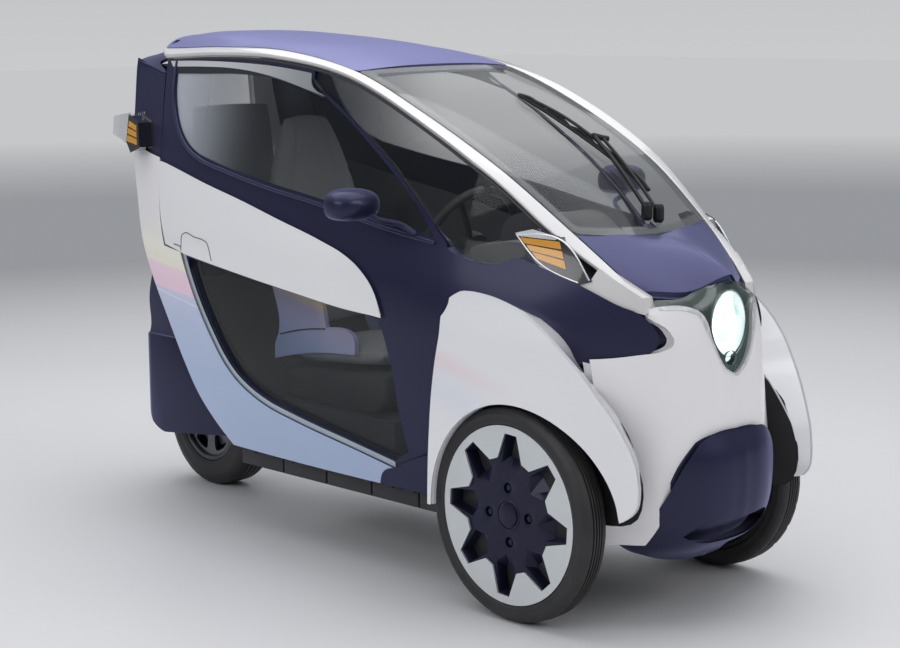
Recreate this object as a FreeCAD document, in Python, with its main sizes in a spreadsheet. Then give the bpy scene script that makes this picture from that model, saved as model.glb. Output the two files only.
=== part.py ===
import FreeCAD, Part
import math
import os
from FreeCAD import Rotation, Vector

# Narrow tandem car on two front wheels and one steered rear wheel, modelled in millimetres.
# X points forward, Y to the left and Z up. While it is modelled, X is measured from the front axle.
# At the end every sub-part moves forward by front_axle_x, so that the origin is on the ground
# under the middle of the whole length.

doc = FreeCAD.newDocument("three_wheeled_car")

# Driving dimensions
sheet = doc.addObject("Spreadsheet::Sheet", "sizes")
driving_dimensions = {
    "wheelbase": 1700,
    "front_track": 736,
    "front_axle_x": 768,
    "front_tyre_radius": 267,
    "front_tyre_width": 80,
    "front_rim_radius": 221,
    "plate_thickness": 6,
    "spider_thickness": 22,
    "spindle_radius": 15,
    "rear_tyre_radius": 215,
    "rear_tyre_width": 120,
    "rear_rim_radius": 137,
    "rear_axle_radius": 12,
    "running_clearance": 0.05,
    "arch_radius": 285,
    "arch_centre_x": 30,
    "fender_half_width": 425,
    "body_half_width": 420,
    "roof_height": 1422,
    "wall": 40,
    "skin": 12,
    "glass": 5,
    "door_gap": 8,
    "floor_bottom": 190,
    "floor_height": 55,
    "floor_half_width": 300,
    "battery_length": 520,
    "battery_width": 420,
    "battery_height": 130,
    "steering_wheel_radius": 165,
    "steering_rim_radius": 13,
    "stem_radius": 22,
    "seat_half_width": 190,
    "plate_hole_radius": 3,
    "plate_hole_spacing": 120,
    "belt_anchor_radius": 5.55,
    "belt_anchor_half_width": 260,
}
for row, (alias, value) in enumerate(driving_dimensions.items(), start=1):
    sheet.set("A%d" % row, alias)
    sheet.set("B%d" % row, str(value))
    sheet.setAlias("B%d" % row, alias)
doc.recompute()


def size(alias):
    return float(sheet.get(alias))


sub_parts = []


def finish_part(thing, label):
    """Name a sub-part and carry it forward to the part's own origin."""
    thing.Label = label
    thing.setExpression("Placement.Base.x", "sizes.front_axle_x + %s" % thing.Placement.Base.x)
    sub_parts.append(thing)
    return thing


def shaped_part(label, shape):
    """A panel with a free-form shape that sketches and primitives don't give."""
    feature = doc.addObject("Part::Feature", label)
    feature.Shape = shape
    return finish_part(feature, label)


def box_part(label, length, width, height, corner):
    """A rectangular block with its sizes as sheet expressions."""
    block = doc.addObject("Part::Box", label)
    block.setExpression("Length", length)
    block.setExpression("Width", width)
    block.setExpression("Height", height)
    block.Placement = FreeCAD.Placement(Vector(*corner), Rotation())
    return block


# Curves and surfaces that the panels share

def along(table, value):
    """Value of a smooth curve through (position, value) pairs."""
    table = sorted(table)
    if value <= table[0][0]:
        return table[0][1]
    if value >= table[-1][0]:
        return table[-1][1]
    index = max(i for i in range(len(table) - 1) if table[i][0] <= value)
    (x0, y0), (x1, y1) = table[index], table[index + 1]

    def slope(i):
        i = min(max(i, 1), len(table) - 2)
        return (table[i + 1][1] - table[i - 1][1]) / (table[i + 1][0] - table[i - 1][0])

    span = x1 - x0
    t = (value - x0) / span
    blend = t * t * (3 - 2 * t)
    start_push = (t ** 3 - 2 * t ** 2 + t) * span * slope(index)
    end_push = (t ** 3 - t ** 2) * span * slope(index + 1)
    return y0 + (y1 - y0) * blend + start_push + end_push


def smooth_step(t):
    t = min(max(t, 0.0), 1.0)
    return t * t * (3 - 2 * t)


def spread(low, high, count):
    return [low + (high - low) * i / (count - 1) for i in range(count)]


def surface_through(rows):
    surface = Part.BSplineSurface()
    surface.interpolate(rows)
    return surface.toShape()


def spline_edge(points):
    curve = Part.BSplineCurve()
    curve.interpolate(points)
    return curve.toShape()


def outline_face(pieces, lift):
    """Closed face from pieces, each a list of flat points: two points are a line, more a curve."""
    edges = []
    for piece in pieces:
        points = [lift(a, b) for a, b in piece]
        edges.append(Part.makeLine(*points) if len(points) == 2 else spline_edge(points))
    return Part.Face(Part.Wire(edges))


def side_outline(pieces, y_from, y_to):
    """Side-view outline (x, z) run across the car."""
    face = outline_face(pieces, lambda x, z: Vector(x, y_from, z))
    return face.extrude(Vector(0, y_to - y_from, 0))


def front_outline(pieces, x_from, x_to):
    """Front-view outline (y, z) run along the car."""
    face = outline_face(pieces, lambda y, z: Vector(x_from, y, z))
    return face.extrude(Vector(x_to - x_from, 0, 0))


def polygon(points):
    """Closed outline of straight runs."""
    return [[points[i], points[(i + 1) % len(points)]] for i in range(len(points))]


def mirrored(shape):
    return shape.mirror(Vector(0, 0, 0), Vector(0, 1, 0))


def left_and_right(label, right_shape):
    """Two pieces on different bodies: the right-hand one and its mirror image."""
    shaped_part(label + "_right", right_shape)
    shaped_part(label + "_left", mirrored(right_shape))


def pair(label, right_shape):
    """Two like pieces on the body, as one sub-part of two solids."""
    shaped_part(label, Part.makeCompound([right_shape, mirrored(right_shape)]))


# Body side: the half width shrinks towards both ends and towards the sill and the roof
side_section = [(120, 0.72), (250, 0.80), (420, 0.90), (600, 0.965), (790, 1.0),
                (930, 0.95), (1060, 0.885), (1300, 0.762), (1450, 0.67)]
plan_low = [(-1720, 0.80), (-1450, 0.90), (-1150, 0.965), (-800, 1.0), (-450, 0.99), (-214, 0.95),
            (0, 0.835), (100, 0.72), (165, 0.63), (245, 0.505), (340, 0.34)]
plan_high = [(-1720, 0.80), (-1450, 0.90), (-1150, 0.965), (-800, 1.0), (-450, 0.965), (-214, 0.885),
             (-51, 0.77), (60, 0.68), (147, 0.60), (244, 0.465), (340, 0.34)]
waist_low, waist_high = 650, 930


def side_half_width(x, z):
    share = smooth_step((z - waist_low) / (waist_high - waist_low))
    plan = (1 - share) * along(plan_low, x) + share * along(plan_high, x)
    return size("body_half_width") * along(side_section, z) * plan


side_front, side_rear = 340, -1760
side_low, side_high = 120, 1450


def side_skin(proud):
    """Right-hand body side surface, moved outwards by proud."""
    rows = [[Vector(x, -side_half_width(x, z) - proud, z) for z in spread(side_low, side_high, 13)]
            for x in spread(side_rear, side_front, 17)]
    return surface_through(rows)


def side_panel(pieces, proud, thickness):
    """Right-hand panel: a side-view outline cut from the body side's wall."""
    wall = side_skin(proud).extrude(Vector(0, thickness, 0))
    return wall.common(side_outline(pieces, -600, -20))


# Roof rail stations from the tail down to the nose tip: x, outer height, inner height, inner half width
rail_stations = [
    (-1610, 1349, 1369, 238),
    (-1300, 1360, 1375, 256),
    (-1000, 1356, 1368, 264),
    (-690, 1315, 1318, 276),
    (-430, 1223, 1223, 284),
    (-150, 1080, 1087, 272),
    (60, 929, 946, 240),
    (170, 858, 861, 212),
    (250, 792, 790, 184),
]
rail_depth = 16
rail_lip = 14


def rail_low(x):
    """Height of the rail's lower outer edge."""
    return along([(station[0], station[1]) for station in rail_stations], x) - rail_lip


def moved_line(points, distance):
    """Points of a side-view line moved square to it, to its left."""
    moved = []
    for i, (x, z) in enumerate(points):
        before, after = points[max(i - 1, 0)], points[min(i + 1, len(points) - 1)]
        run = Vector(after[0] - before[0], 0, after[1] - before[1]).normalize()
        moved.append((x - run.z * distance, z + run.x * distance))
    return moved


# Side view lines, as (x, z): the shut line under the door, and the edges that the doors keep clear of
gap = size("door_gap")
wall = size("wall")
skin = size("skin")
glass = size("glass")
shut_line = [(-473, 298), (-556, 314), (-657, 333), (-764, 351), (-874, 371), (-979, 393), (-1054, 420),
             (-1117, 455), (-1168, 502), (-1206, 553), (-1243, 609), (-1277, 670), (-1312, 743), (-1336, 794)]
door_low_line = moved_line(shut_line, -gap / 2)
skirt_line = moved_line(shut_line, gap / 2)
skirt_rear = [(-1696, 1087), (-1640, 970), (-1590, 862), (-1501, 701), (-1430, 577), (-1375, 470),
              (-1325, 379), (-1266, 309), (-1199, 250)]
door_front_x = -229

# Middle line of the gap between the door and the quarter glass, from the rail down to the belt
split_line = [(-805, 1287), (-732, 1250), (-642, 1202), (-554, 1146), (-449, 1075), (-348, 994), (-249, 906)]
door_edge = moved_line(split_line, -gap / 2)
quarter_edge = moved_line(split_line, gap / 2)

# Doors: outline clear of the rail, the shut line, the quarter glass and the fender
door_top = [(x, rail_low(x) - gap) for x in (-1545, -1400, -1250, -1050, -812)]
door_outline = [
    door_top,
    [door_top[-1], door_edge[0]],
    door_edge,
    [door_edge[-1], (-236, 840), (door_front_x, 762)],
    [(door_front_x, 762), (-239, 660), (-250, 572), (-262, 450), (-270, 380)],
    [(-270, 380), door_low_line[0]],
    door_low_line,
    [door_low_line[-1], (-1424, 812)],
    [(-1424, 812), (-1478, 919), (-1508, 1030)],
    [(-1508, 1030), (-1530, 1180), door_top[0]],
]


def upper_window(inset, low_shift, rear_shift):
    """Outline of the door's upper window, inset from the rail and the split line."""
    top = [(x, rail_low(x) - gap - inset) for x in (-1480 - rear_shift, -1280, -1050, -840)]
    front = moved_line(split_line[1:-1], -gap / 2 - inset) + [(-288 + inset / 2, 914 - low_shift)]
    belt = [(-450, 938), (-713, 983), (-983, 1018), (-1161, 1046), (-1298, 1072)]
    corner = [(-1358, 1096), (-1416, 1140), (-1464, 1221)]
    belt = [(x, z - low_shift) for x, z in belt]
    corner = [(x - rear_shift, z - 0.7 * low_shift) for x, z in corner]
    return [top, [top[-1], front[0]], front, [front[-1]] + belt, [belt[-1]] + corner + [top[0]]]


window_hole = upper_window(18, 0, 0)
pane_outline = upper_window(2, 10, 10)
frame_strip = 14
glass_low_line = moved_line(shut_line[:-1], -gap / 2 - frame_strip)
lower_glass_outline = [
    [(-452, 702), (-434, 633), (-420, 556), (-416, 464), (-406, 352)],
    [(-406, 352), glass_low_line[0]],
    glass_low_line,
    [glass_low_line[-1], (-1304, 788)],
    [(-1304, 788), (-1150, 773), (-882, 746), (-646, 722), (-452, 702)],
]
band_outline = [
    [(-1504, 1038), (-1413, 1022), (-1250, 990), (-1027, 949), (-877, 917), (-674, 871), (-595, 848),
     (-533, 819), (-480, 775), (-446, 709)],
    [(-446, 709), (-569, 716), (-769, 738), (-945, 757), (-1150, 779), (-1300, 795)],
    [(-1300, 795), (-1418, 816)],
    [(-1418, 816), (-1474, 922), (-1504, 1038)],
]
door_shape = side_panel(door_outline, 0, wall)
door_shape = door_shape.cut(side_outline(window_hole, -600, -20))
pane_room = side_outline(pane_outline, -600, -20).common(side_skin(20).extrude(Vector(0, 20 + glass + 1.2, 0)))
door_shape = door_shape.cut(pane_room)
door_shape = door_shape.cut(side_outline(lower_glass_outline, -600, -20))
band_shape = side_panel(band_outline, 8, 26)
door_shape = door_shape.cut(side_outline(band_outline, -600, -20).common(
    side_skin(20).extrude(Vector(0, 38, 0))))
left_and_right("door", door_shape)
left_and_right("door_band", band_shape)
upper_pane = side_panel(pane_outline, -1, glass)
lower_pane = side_panel(lower_glass_outline, -14, glass)
left_and_right("door_glass", Part.makeCompound([upper_pane, lower_pane]))

# Door mirror: a rounded pod on a thin arm from the belt line
mirror_centre = Vector(-450, -496, 996)
pod = Part.makeSphere(1)
scale = FreeCAD.Matrix()
scale.scale(Vector(52, 78, 43))
pod = pod.transformGeometry(scale)
pod.translate(mirror_centre)
arm_foot = Vector(-352, -side_half_width(-352, 925) + 4, 922)
arm_top = Vector(-420, -470, 975)
arm_run = arm_top.sub(arm_foot)
arm = Part.makeCylinder(8, arm_run.Length, arm_foot, arm_run)
left_and_right("mirror", pod.fuse(arm).removeSplitter().cut(side_skin(0.3).extrude(Vector(0, 60, 0))))

# Fixed side panels behind and below the door
skirt_outline = [
    skirt_rear,
    [(-1199, 250), (-290, 250)],
    [(-290, 250), (-284, 366)],
    [(-284, 366), skirt_line[0]],
    skirt_line,
    [skirt_line[-1], (-1434, 803)],
    [(-1434, 803), (-1487, 921), (-1518, 1050)],
    [(-1518, 1050), (-1599, 1063), (-1696, 1087)],
]
pair("side_skirts", side_panel(skirt_outline, 6, wall))
deck_top = rail_low(-1580) - 3
quarter_outline = [
    [(-1521, 1053), (-1541, 1180), (-1556, rail_low(-1556) - 3)],
    [(-1556, rail_low(-1556) - 3), (-1580, deck_top)],
    [(-1580, deck_top), (-1724, deck_top)],
    [(-1724, deck_top), (-1714, 1250), (-1706, 1180), (-1697, 1090)],
    [(-1697, 1090), (-1599, 1066), (-1521, 1053)],
]
quarter_right = side_panel(quarter_outline, 0, wall)

# Quarter glass, cowl and indicator ahead of the door
quarter_top = [(x, rail_low(x) - 3) for x in (-796, -690, -550, -400, -250, -100, 30)]
quarter_glass_outline = [
    quarter_top,
    [quarter_top[-1], (-30, 905), (-42, 882)],
    [(-42, 882), (-90, 864), (-150, 864), (-214, 882), quarter_edge[-1]],
    list(reversed(quarter_edge)),
    [quarter_edge[0], quarter_top[0]],
]
lamp_outline = polygon([(-52, 940), (-8, 952), (60, 936), (148, 838), (122, 830), (14, 874)])
lamp_room = side_outline(lamp_outline, -600, -20).common(side_skin(18).extrude(Vector(0, 52, 0)))
pair("front_indicators", side_panel(lamp_outline, 14, 44))
quarter_pane = side_panel(quarter_glass_outline, -8, glass).cut(lamp_room)

# Roof rail: one arched bar from the tail down to the pointed nose tip, with the lamp fork below


def rail_section(x, z_out, z_in, y_in):
    y_out = side_half_width(x, z_out) + 6
    corners = [Vector(x, -y_out, z_out), Vector(x, -y_in, z_in),
               Vector(x, -y_in, z_in - rail_depth), Vector(x, -y_out + 8, z_out - rail_lip)]
    return Part.makePolygon(corners + corners[:1])


rail_shape = Part.makeLoft([rail_section(*station) for station in rail_stations], True, False)
fork_outline = polygon([(14, 874), (122, 830), (148, 838), (160, 862), (252, 800), (262, 764), (225, 776), (130, 824),
                        (20, 868)])
rail_end = Part.Face(Part.makePolygon([Vector(-1700, -200, 1300), Vector(-1622, -236, 1300), Vector(-1528, -296, 1300),
                                       Vector(-1528, -340, 1300), Vector(-1700, -340, 1300),
                                       Vector(-1700, -200, 1300)])).extrude(Vector(0, 0, 120))
rail_shape = rail_shape.fuse(side_panel(fork_outline, 10, 34)).cut([lamp_room, rail_end])
rails_both = [rail_shape, mirrored(rail_shape)]
pair("roof_rails", rail_shape)
pair("quarter_glasses", quarter_pane.cut(rail_shape))
cowl_outline = [
    [(-241, 896), (-212, 878), (-150, 860), (-90, 860), (-44, 878)],
    [(-44, 878), (12, 864)],
    [(12, 864), (130, 820), (205, 780), (236, 762)],
    [(236, 762), (264, 736), (281, 703), (262, 668)],
    [(262, 668), (216, 653), (167, 647), (40, 640)],
    [(40, 640), (-221, 640)],
    [(-221, 640), (-221, 762), (-228, 840), (-241, 896)],
]


def rail_inner(x):
    """Inner edge of the rail at x: half width and height."""
    return (along([(s[0], s[3]) for s in rail_stations], x),
            along([(s[0], s[2]) for s in rail_stations], x))


# Roof, windscreen and bonnet: crowned panels between the rails
across = [-1.0, -0.92, -0.8, -0.5, -0.2, 0.0, 0.2, 0.5, 0.8, 0.92, 1.0]


def crowned_skin(stations):
    """Surface from stations (edge x, middle x, middle height, squareness) between the two rails."""
    rows = []
    for edge_x, middle_x, middle_z, squareness in stations:
        half, edge_z = rail_inner(edge_x)
        half -= 3
        row = []
        for share in across:
            bow = 1 - abs(share) ** squareness
            row.append(Vector(edge_x + (middle_x - edge_x) * bow, share * half,
                              edge_z + (middle_z - edge_z) * bow))
        rows.append(row)
    return surface_through(rows)


roof_top = size("roof_height")
roof_skin = crowned_skin([(-1600, -1640, roof_top - 16, 4.0), (-1500, -1515, roof_top - 6, 3.8),
                          (-1300, -1300, roof_top - 10, 3.4), (-1000, -990, roof_top - 36, 3.0),
                          (-690, -655, roof_top - 92, 2.4)])
shaped_part("roof_panel", roof_skin.extrude(Vector(0, 0, -24)))
screen_skin = crowned_skin([(-682, -647, roof_top - 98, 2.4), (-490, -450, 1254, 2.2), (-303, -258, 1163, 2.2),
                            (-126, -78, 1061, 2.2), (66, 116, 927, 2.2)])
screen = screen_skin.extrude(Vector(0, 0, -glass - 1))
shaped_part("windscreen", screen)

bonnet_thickness = 16
bonnet_rows = []
for edge, notch, middle in [((72, 234, 936), (108, 112, 931), (122, 0, 922)),
                            ((160, 212, 868), (205, 100, 873), (235, 0, 896)),
                            ((226, 189, 811), (298, 90, 811), (350, 0, 848))]:
    half_row = [Vector(*edge), Vector(*notch), Vector(*middle)]
    other = [Vector(v.x, -v.y, v.z) for v in half_row]
    bonnet_rows.append([other[0], other[1], half_row[2], half_row[1], half_row[0]])
bonnet_skin = surface_through(bonnet_rows)
shaped_part("bonnet", bonnet_skin.extrude(Vector(0, 0, -bonnet_thickness)).cut(rails_both))
bonnet_room = bonnet_skin.extrude(Vector(0, 0, -bonnet_thickness - 2))

# Nose: a bow whose plan widens towards the bottom
nose_profile = [(150, 300), (250, 352), (330, 368), (450, 374), (600, 370), (700, 366), (800, 352), (860, 334)]
nose_plan = [(0, 0), (60, 6), (110, 24), (160, 62), (200, 118), (240, 174), (290, 262)]
nose_spread = [(150, 1.24), (500, 1.10), (770, 1.0), (815, 0.66), (860, 0.55)]
bumper_profile = [(150, 268), (200, 348), (254, 388), (330, 402), (416, 400), (490, 382)]


def bow_skin(profile, low, high, proud):
    rows = []
    for z in spread(low, high, 13):
        widen = along(nose_spread, z)
        half = [Vector(along(profile, z) + proud - drop, y * widen, z) for y, drop in nose_plan]
        rows.append([Vector(v.x, -v.y, v.z) for v in reversed(half[1:])] + half)
    return surface_through(rows)


lamp_front_outline = [
    [(-172, 792), (-112, 796), (-70, 815), (0, 830), (70, 815), (112, 796), (172, 792)],
    [(172, 792), (172, 771)],
    [(172, 771), (126, 768), (102, 756)],
    [(102, 756), (80, 704), (22, 614)],
    [(22, 614), (0, 604), (-22, 614)],
    [(-22, 614), (-80, 704), (-102, 756)],
    [(-102, 756), (-126, 768), (-172, 771)],
    [(-172, 771), (-172, 792)],
]
bumper_outline = [
    [(-119, 468), (0, 478), (119, 468)],
    [(119, 468), (160, 420), (205, 320), (252, 213)],
    [(252, 213), (0, 156), (-252, 213)],
    [(-252, 213), (-205, 320), (-160, 420), (-119, 468)],
]
nose_panel = bow_skin(nose_profile, 190, 810, 0).extrude(Vector(-24, 0, 0))
nose_trim = [
    [(-284, 780), (-284, 216)],
    [(-284, 216), (284, 216)],
    [(284, 216), (284, 780)],
    [(284, 780), (172, 770)],
    [(172, 770), (-172, 770)],
    [(-172, 770), (-284, 780)],
]
nose_panel = nose_panel.common(front_outline(nose_trim, -200, 600))
nose_panel = nose_panel.cut(front_outline(lamp_front_outline, -200, 600))
cowl_room = side_outline(cowl_outline, -600, -60)
nose_panel = nose_panel.cut(cowl_room).cut(mirrored(cowl_room))
nose_panel = nose_panel.cut(front_outline(bumper_outline, -200, 600))
nose_panel = nose_panel.cut(rail_shape).cut(mirrored(rail_shape))
shaped_part("nose_panel", nose_panel)
bumper = bow_skin(bumper_profile, 150, 490, 4).extrude(Vector(-46, 0, 0))
shaped_part("front_bumper", bumper.common(front_outline(bumper_outline, -200, 600)))
lens = bow_skin(nose_profile, 590, 850, 6).extrude(Vector(-6, 0, 0))
lens = lens.common(front_outline(lamp_front_outline, -200, 600)).cut([bonnet_room] + rails_both)
shaped_part("headlamp_lens", lens)
housing_outline = [
    [(-90, 770), (0, 800), (90, 770)],
    [(90, 770), (70, 704), (18, 622)],
    [(18, 622), (-18, 622)],
    [(-18, 622), (-70, 704), (-90, 770)],
]
housing = front_outline(housing_outline, 210, 262)
projector = Part.makeCylinder(44, 50, Vector(262, 0, 730), Vector(1, 0, 0))
low_lamp = Part.makeCylinder(20, 60, Vector(262, 0, 658), Vector(1, 0, 0))
shaped_part("headlamp_housing", housing.fuse(projector).fuse(low_lamp).removeSplitter())

# Front fenders: a skin over the wheel, open at the arch
fender_section = [(240, 1.0), (420, 1.0), (560, 1.0), (680, 0.985), (790, 0.94)]
fender_plan = [(-290, 1.0), (-100, 1.0), (60, 0.985), (160, 0.945), (250, 0.875), (330, 0.79), (380, 0.745)]


def fender_skin(proud):
    rows = [[Vector(x, -size("fender_half_width") * along(fender_section, z) * along(fender_plan, x) - proud, z)
             for z in spread(230, 800, 8)] for x in spread(-290, 380, 10)]
    return surface_through(rows)


fender_outline = [
    [(-262, 256), (-256, 400), (-238, 572), (-214, 712)],
    [(-214, 712), (-198, 762), (-160, 780), (-73, 775), (40, 748), (135, 688), (231, 601), (298, 512),
     (344, 424), (357, 376)],
    [(357, 376), (352, 330), (306, 290)],
    [(306, 290), (150, 256), (-262, 256)],
]
fender_inner_outline = [
    [(-248, 256), (-242, 400), (-225, 572), (-200, 705)],
    [(-200, 705), (-150, 764), (-73, 760), (32, 734), (122, 676), (218, 590), (284, 504), (328, 420),
     (340, 378)],
    [(340, 378), (306, 256)],
    [(306, 256), (-248, 256)],
]
fender_inner_y = 290
fender_shape = fender_skin(0).extrude(Vector(0, 200, 0)).common(
    side_outline(fender_outline, -600, -fender_inner_y))
fender_hollow = fender_skin(-skin).extrude(Vector(0, 200, 0)).common(
    side_outline(fender_inner_outline, -600, -(fender_inner_y + skin)))
arch = Part.makeCylinder(size("arch_radius"), 400,
                         Vector(size("arch_centre_x"), -700, size("front_tyre_radius") - 5), Vector(0, 1, 0))
low_gap = Part.makeBox(700, 60, 430, Vector(-400, -fender_inner_y - skin - 1, 0))
tyre_room = Part.makeCylinder(size("front_tyre_radius") + 10, 124, Vector(0, -414, size("front_tyre_radius")),
                              Vector(0, 1, 0))
fender_shape = fender_shape.cut(fender_hollow).cut(arch).cut(low_gap).cut(tyre_room)
pair("front_fenders", fender_shape)
cowl_shape = side_panel(cowl_outline, 16, 42).cut(side_outline(fender_outline, -600, -20)).cut(rail_shape)
pair("side_cowls", cowl_shape)

# Floor pan, sill ribs and the battery in the floor
floor_half = size("floor_half_width")
floor_low = size("floor_bottom")
floor_top = floor_low + size("floor_height")
floor = Part.makeBox(974, 2 * floor_half, size("floor_height"), Vector(-1196, -floor_half, floor_low))
front_bulkhead = front_outline(polygon([(-285, floor_top), (285, floor_top), (285, 680), (250, 712),
                                        (-250, 712), (-285, 680)]), -228, -206)
rear_bulkhead = side_outline(polygon([(-1498, 700), (-1430, 700), (-1190, 300), (-1190, floor_low + 10),
                                      (-1214, floor_low + 10), (-1214, 300), (-1446, 676), (-1498, 676)]),
                             -285, 285)
belt_anchors = [Part.makeCylinder(size("belt_anchor_radius"), size("floor_height") + 20, Vector(-1000, y, floor_low - 10))
                for y in (-size("belt_anchor_half_width"), size("belt_anchor_half_width"))]
shaped_part("floor_tub", floor.fuse([front_bulkhead, rear_bulkhead]).removeSplitter().cut(belt_anchors))
battery = box_part("battery", "sizes.battery_length", "sizes.battery_width", "sizes.battery_height",
                   (-1150, 0, 0))
battery.setExpression("Placement.Base.y", "-sizes.battery_width / 2")
battery.setExpression("Placement.Base.z", "sizes.floor_bottom + sizes.floor_height")
finish_part(battery, "battery_block")

# Front chassis: bulkhead, cross member, arms and knuckles
member = Part.makeBox(380, 180, 190, Vector(-206, -90, 170))
tower = Part.makeBox(90, 150, 240, Vector(-45, -75, 360))
front_frame = member.fuse(tower).removeSplitter()
shaped_part("front_frame", front_frame)
track = size("front_track") / 2
wheel_z = size("front_tyre_radius")


def rod(start, end, radius):
    run = end.sub(start)
    return Part.makeCylinder(radius, run.Length, start, run)


knuckle = Part.makeBox(60, 26, 190, Vector(-30, -300, 175))
hub_drum = Part.makeCylinder(88, 48, Vector(0, -300, wheel_z), Vector(0, -1, 0))
spindle = Part.makeCylinder(size("spindle_radius"), 88, Vector(0, -300, wheel_z), Vector(0, -1, 0))
arms = knuckle.fuse([hub_drum, spindle,
                     rod(Vector(-80, -88, 205), Vector(0, -285, 205), 14),
                     rod(Vector(80, -88, 205), Vector(0, -285, 205), 14),
                     rod(Vector(-30, -72, 400), Vector(0, -285, 345), 12),
                     rod(Vector(30, -72, 400), Vector(0, -285, 345), 12)])
pair("front_suspension", arms.removeSplitter().cut(front_frame))

# Wheels. The front ones have a dark eight-window spider under a light plate with a zigzag inner edge
window_tip_radius, window_base_radius = 203, 143
window_tip_angle, window_base_angle = 5.8, 17.0
windows = 8
first_window = -4.0


def wheel_revolution(label, profile_points, y_middle, x_middle, z_middle):
    """Solid of revolution about the wheel's own Y axis from (radius, y) corners, by a sketch."""
    body = doc.addObject("PartDesign::Body", label)
    sketch = body.newObject("Sketcher::SketchObject", label + "_profile")
    xy_plane = [p for p in body.Origin.OriginFeatures if p.Role == "XY_Plane"][0]
    sketch.AttachmentSupport = [(xy_plane, "")]
    sketch.MapMode = "FlatFace"
    count = len(profile_points)
    for i in range(count):
        radius_a, y_a = profile_points[i]
        radius_b, y_b = profile_points[(i + 1) % count]
        sketch.addGeometry(Part.LineSegment(Vector(radius_a, y_a, 0), Vector(radius_b, y_b, 0)), False)
    turn = body.newObject("PartDesign::Revolution", label + "_turned")
    turn.Profile = sketch
    turn.ReferenceAxis = (sketch, ["V_Axis"])
    turn.Angle = 360
    body.Placement = FreeCAD.Placement(Vector(x_middle, y_middle, z_middle), Rotation())
    return body


tyre_r, tyre_w, rim_r = size("front_tyre_radius"), size("front_tyre_width"), size("front_rim_radius")


def tyre_profile(outer, inner, width):
    half = width / 2
    wall_run = outer - inner
    return [(inner, -half + 6), (inner + 0.35 * wall_run, -half), (outer - 0.32 * wall_run, -half + 2),
            (outer - 0.10 * wall_run, -half + 10), (outer, -half + 22), (outer, half - 22),
            (outer - 0.10 * wall_run, half - 10), (outer - 0.32 * wall_run, half - 2),
            (inner + 0.35 * wall_run, half), (inner, half - 6)]


def star_wire(y, tip_radius, base_radius, tip_angle, base_angle):
    corners = []
    for k in range(windows):
        middle = first_window + 45 * k
        for angle, radius in ((-base_angle, base_radius), (-tip_angle, tip_radius),
                              (tip_angle, tip_radius), (base_angle, base_radius)):
            turn = math.radians(middle + angle)
            corners.append(Vector(radius * math.cos(turn), y, radius * math.sin(turn)))
    return Part.makePolygon(corners + corners[:1])


def front_wheel(side, sign):
    """One front wheel: tyre, dark rim with spider, light plate. The face looks outwards (sign)."""
    tyre = wheel_revolution("front_tyre_" + side, tyre_profile(tyre_r, rim_r, tyre_w), sign * track, 0, wheel_z)
    finish_part(tyre, "front_tyre_" + side)
    outward = Vector(0, sign, 0)
    face_y = 10
    spider_thickness = size("spider_thickness")
    barrel = Part.makeCylinder(rim_r - 0.3, 68, Vector(0, -34 * sign, 0), outward)
    barrel = barrel.cut(Part.makeCylinder(rim_r - 12, 80, Vector(0, -40 * sign, 0), outward))
    spider = Part.makeCylinder(rim_r - 8, spider_thickness, Vector(0, face_y * sign, 0), outward)
    for k in range(windows):
        middle = math.radians(first_window + 45 * k)
        corners = []
        for radius, angle in ((98, 0), (122, -11), (window_tip_radius - 6, -4.8), (window_tip_radius - 6, 4.8),
                              (122, 11)):
            turn = middle + math.radians(angle)
            corners.append(Vector(radius * math.cos(turn), -50 * sign, radius * math.sin(turn)))
        opening = Part.Face(Part.makePolygon(corners + corners[:1])).extrude(outward * 120)
        spider = spider.cut(opening)
    hub = Part.makeCylinder(46, 34, Vector(0, (face_y - 16) * sign, 0), outward)
    cap = Part.makeCylinder(30, 6, Vector(0, (face_y + 18) * sign, 0), outward)
    rim = barrel.fuse([spider, hub, cap])
    bore_depth = 50
    bore = Part.makeCylinder(size("spindle_radius") + size("running_clearance"), bore_depth,
                             Vector(0, (face_y + 14) * sign, 0), outward * -1)
    rim = rim.cut(bore)
    for k in range(4):
        turn = math.radians(90 * k + 2)
        rim = rim.cut(Part.makeCylinder(11, 16, Vector(67 * math.cos(turn), (face_y + 8) * sign, 67 * math.sin(turn)),
                                        outward))
    rim = rim.removeSplitter()
    rim.translate(Vector(0, sign * track, wheel_z))
    shaped_part("front_rim_" + side, rim)
    plate_y = face_y + spider_thickness
    plate = Part.makeCylinder(rim_r - 12.5, size("plate_thickness"), Vector(0, plate_y * sign, 0), outward)
    star = Part.Face(star_wire(plate_y * sign, window_tip_radius, window_base_radius, window_tip_angle,
                               window_base_angle)).extrude(outward * size("plate_thickness"))
    plate = plate.cut(star)
    plate.translate(Vector(0, sign * track, wheel_z))
    shaped_part("front_wheel_plate_" + side, plate)


front_wheel("right", -1)
front_wheel("left", 1)

# Rear wheel, its fork and its own fender, which steer together
rear_x = -size("wheelbase")
rear_z = size("rear_tyre_radius")
rear_w = size("rear_tyre_width")
rear_rim_r = size("rear_rim_radius")
rear_tyre = wheel_revolution("rear_tyre", tyre_profile(rear_z, rear_rim_r, rear_w), 0, rear_x, rear_z)
finish_part(rear_tyre, "rear_tyre")
axle_r = size("rear_axle_radius")
bore_r = axle_r + size("running_clearance")
rear_rim = wheel_revolution("rear_rim", [
    (bore_r, -50), (34, -50), (34, -14), (rear_rim_r - 14, -10), (rear_rim_r - 14, -48), (rear_rim_r - 0.3, -54),
    (rear_rim_r - 0.3, 54), (rear_rim_r - 14, 48), (rear_rim_r - 14, 10), (34, 14), (34, 50), (bore_r, 50)],
    0, rear_x, rear_z)
finish_part(rear_rim, "rear_rim")
leg_right = Part.makeBox(56, 16, 250, Vector(rear_x - 28, -92, rear_z - 28))
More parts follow.
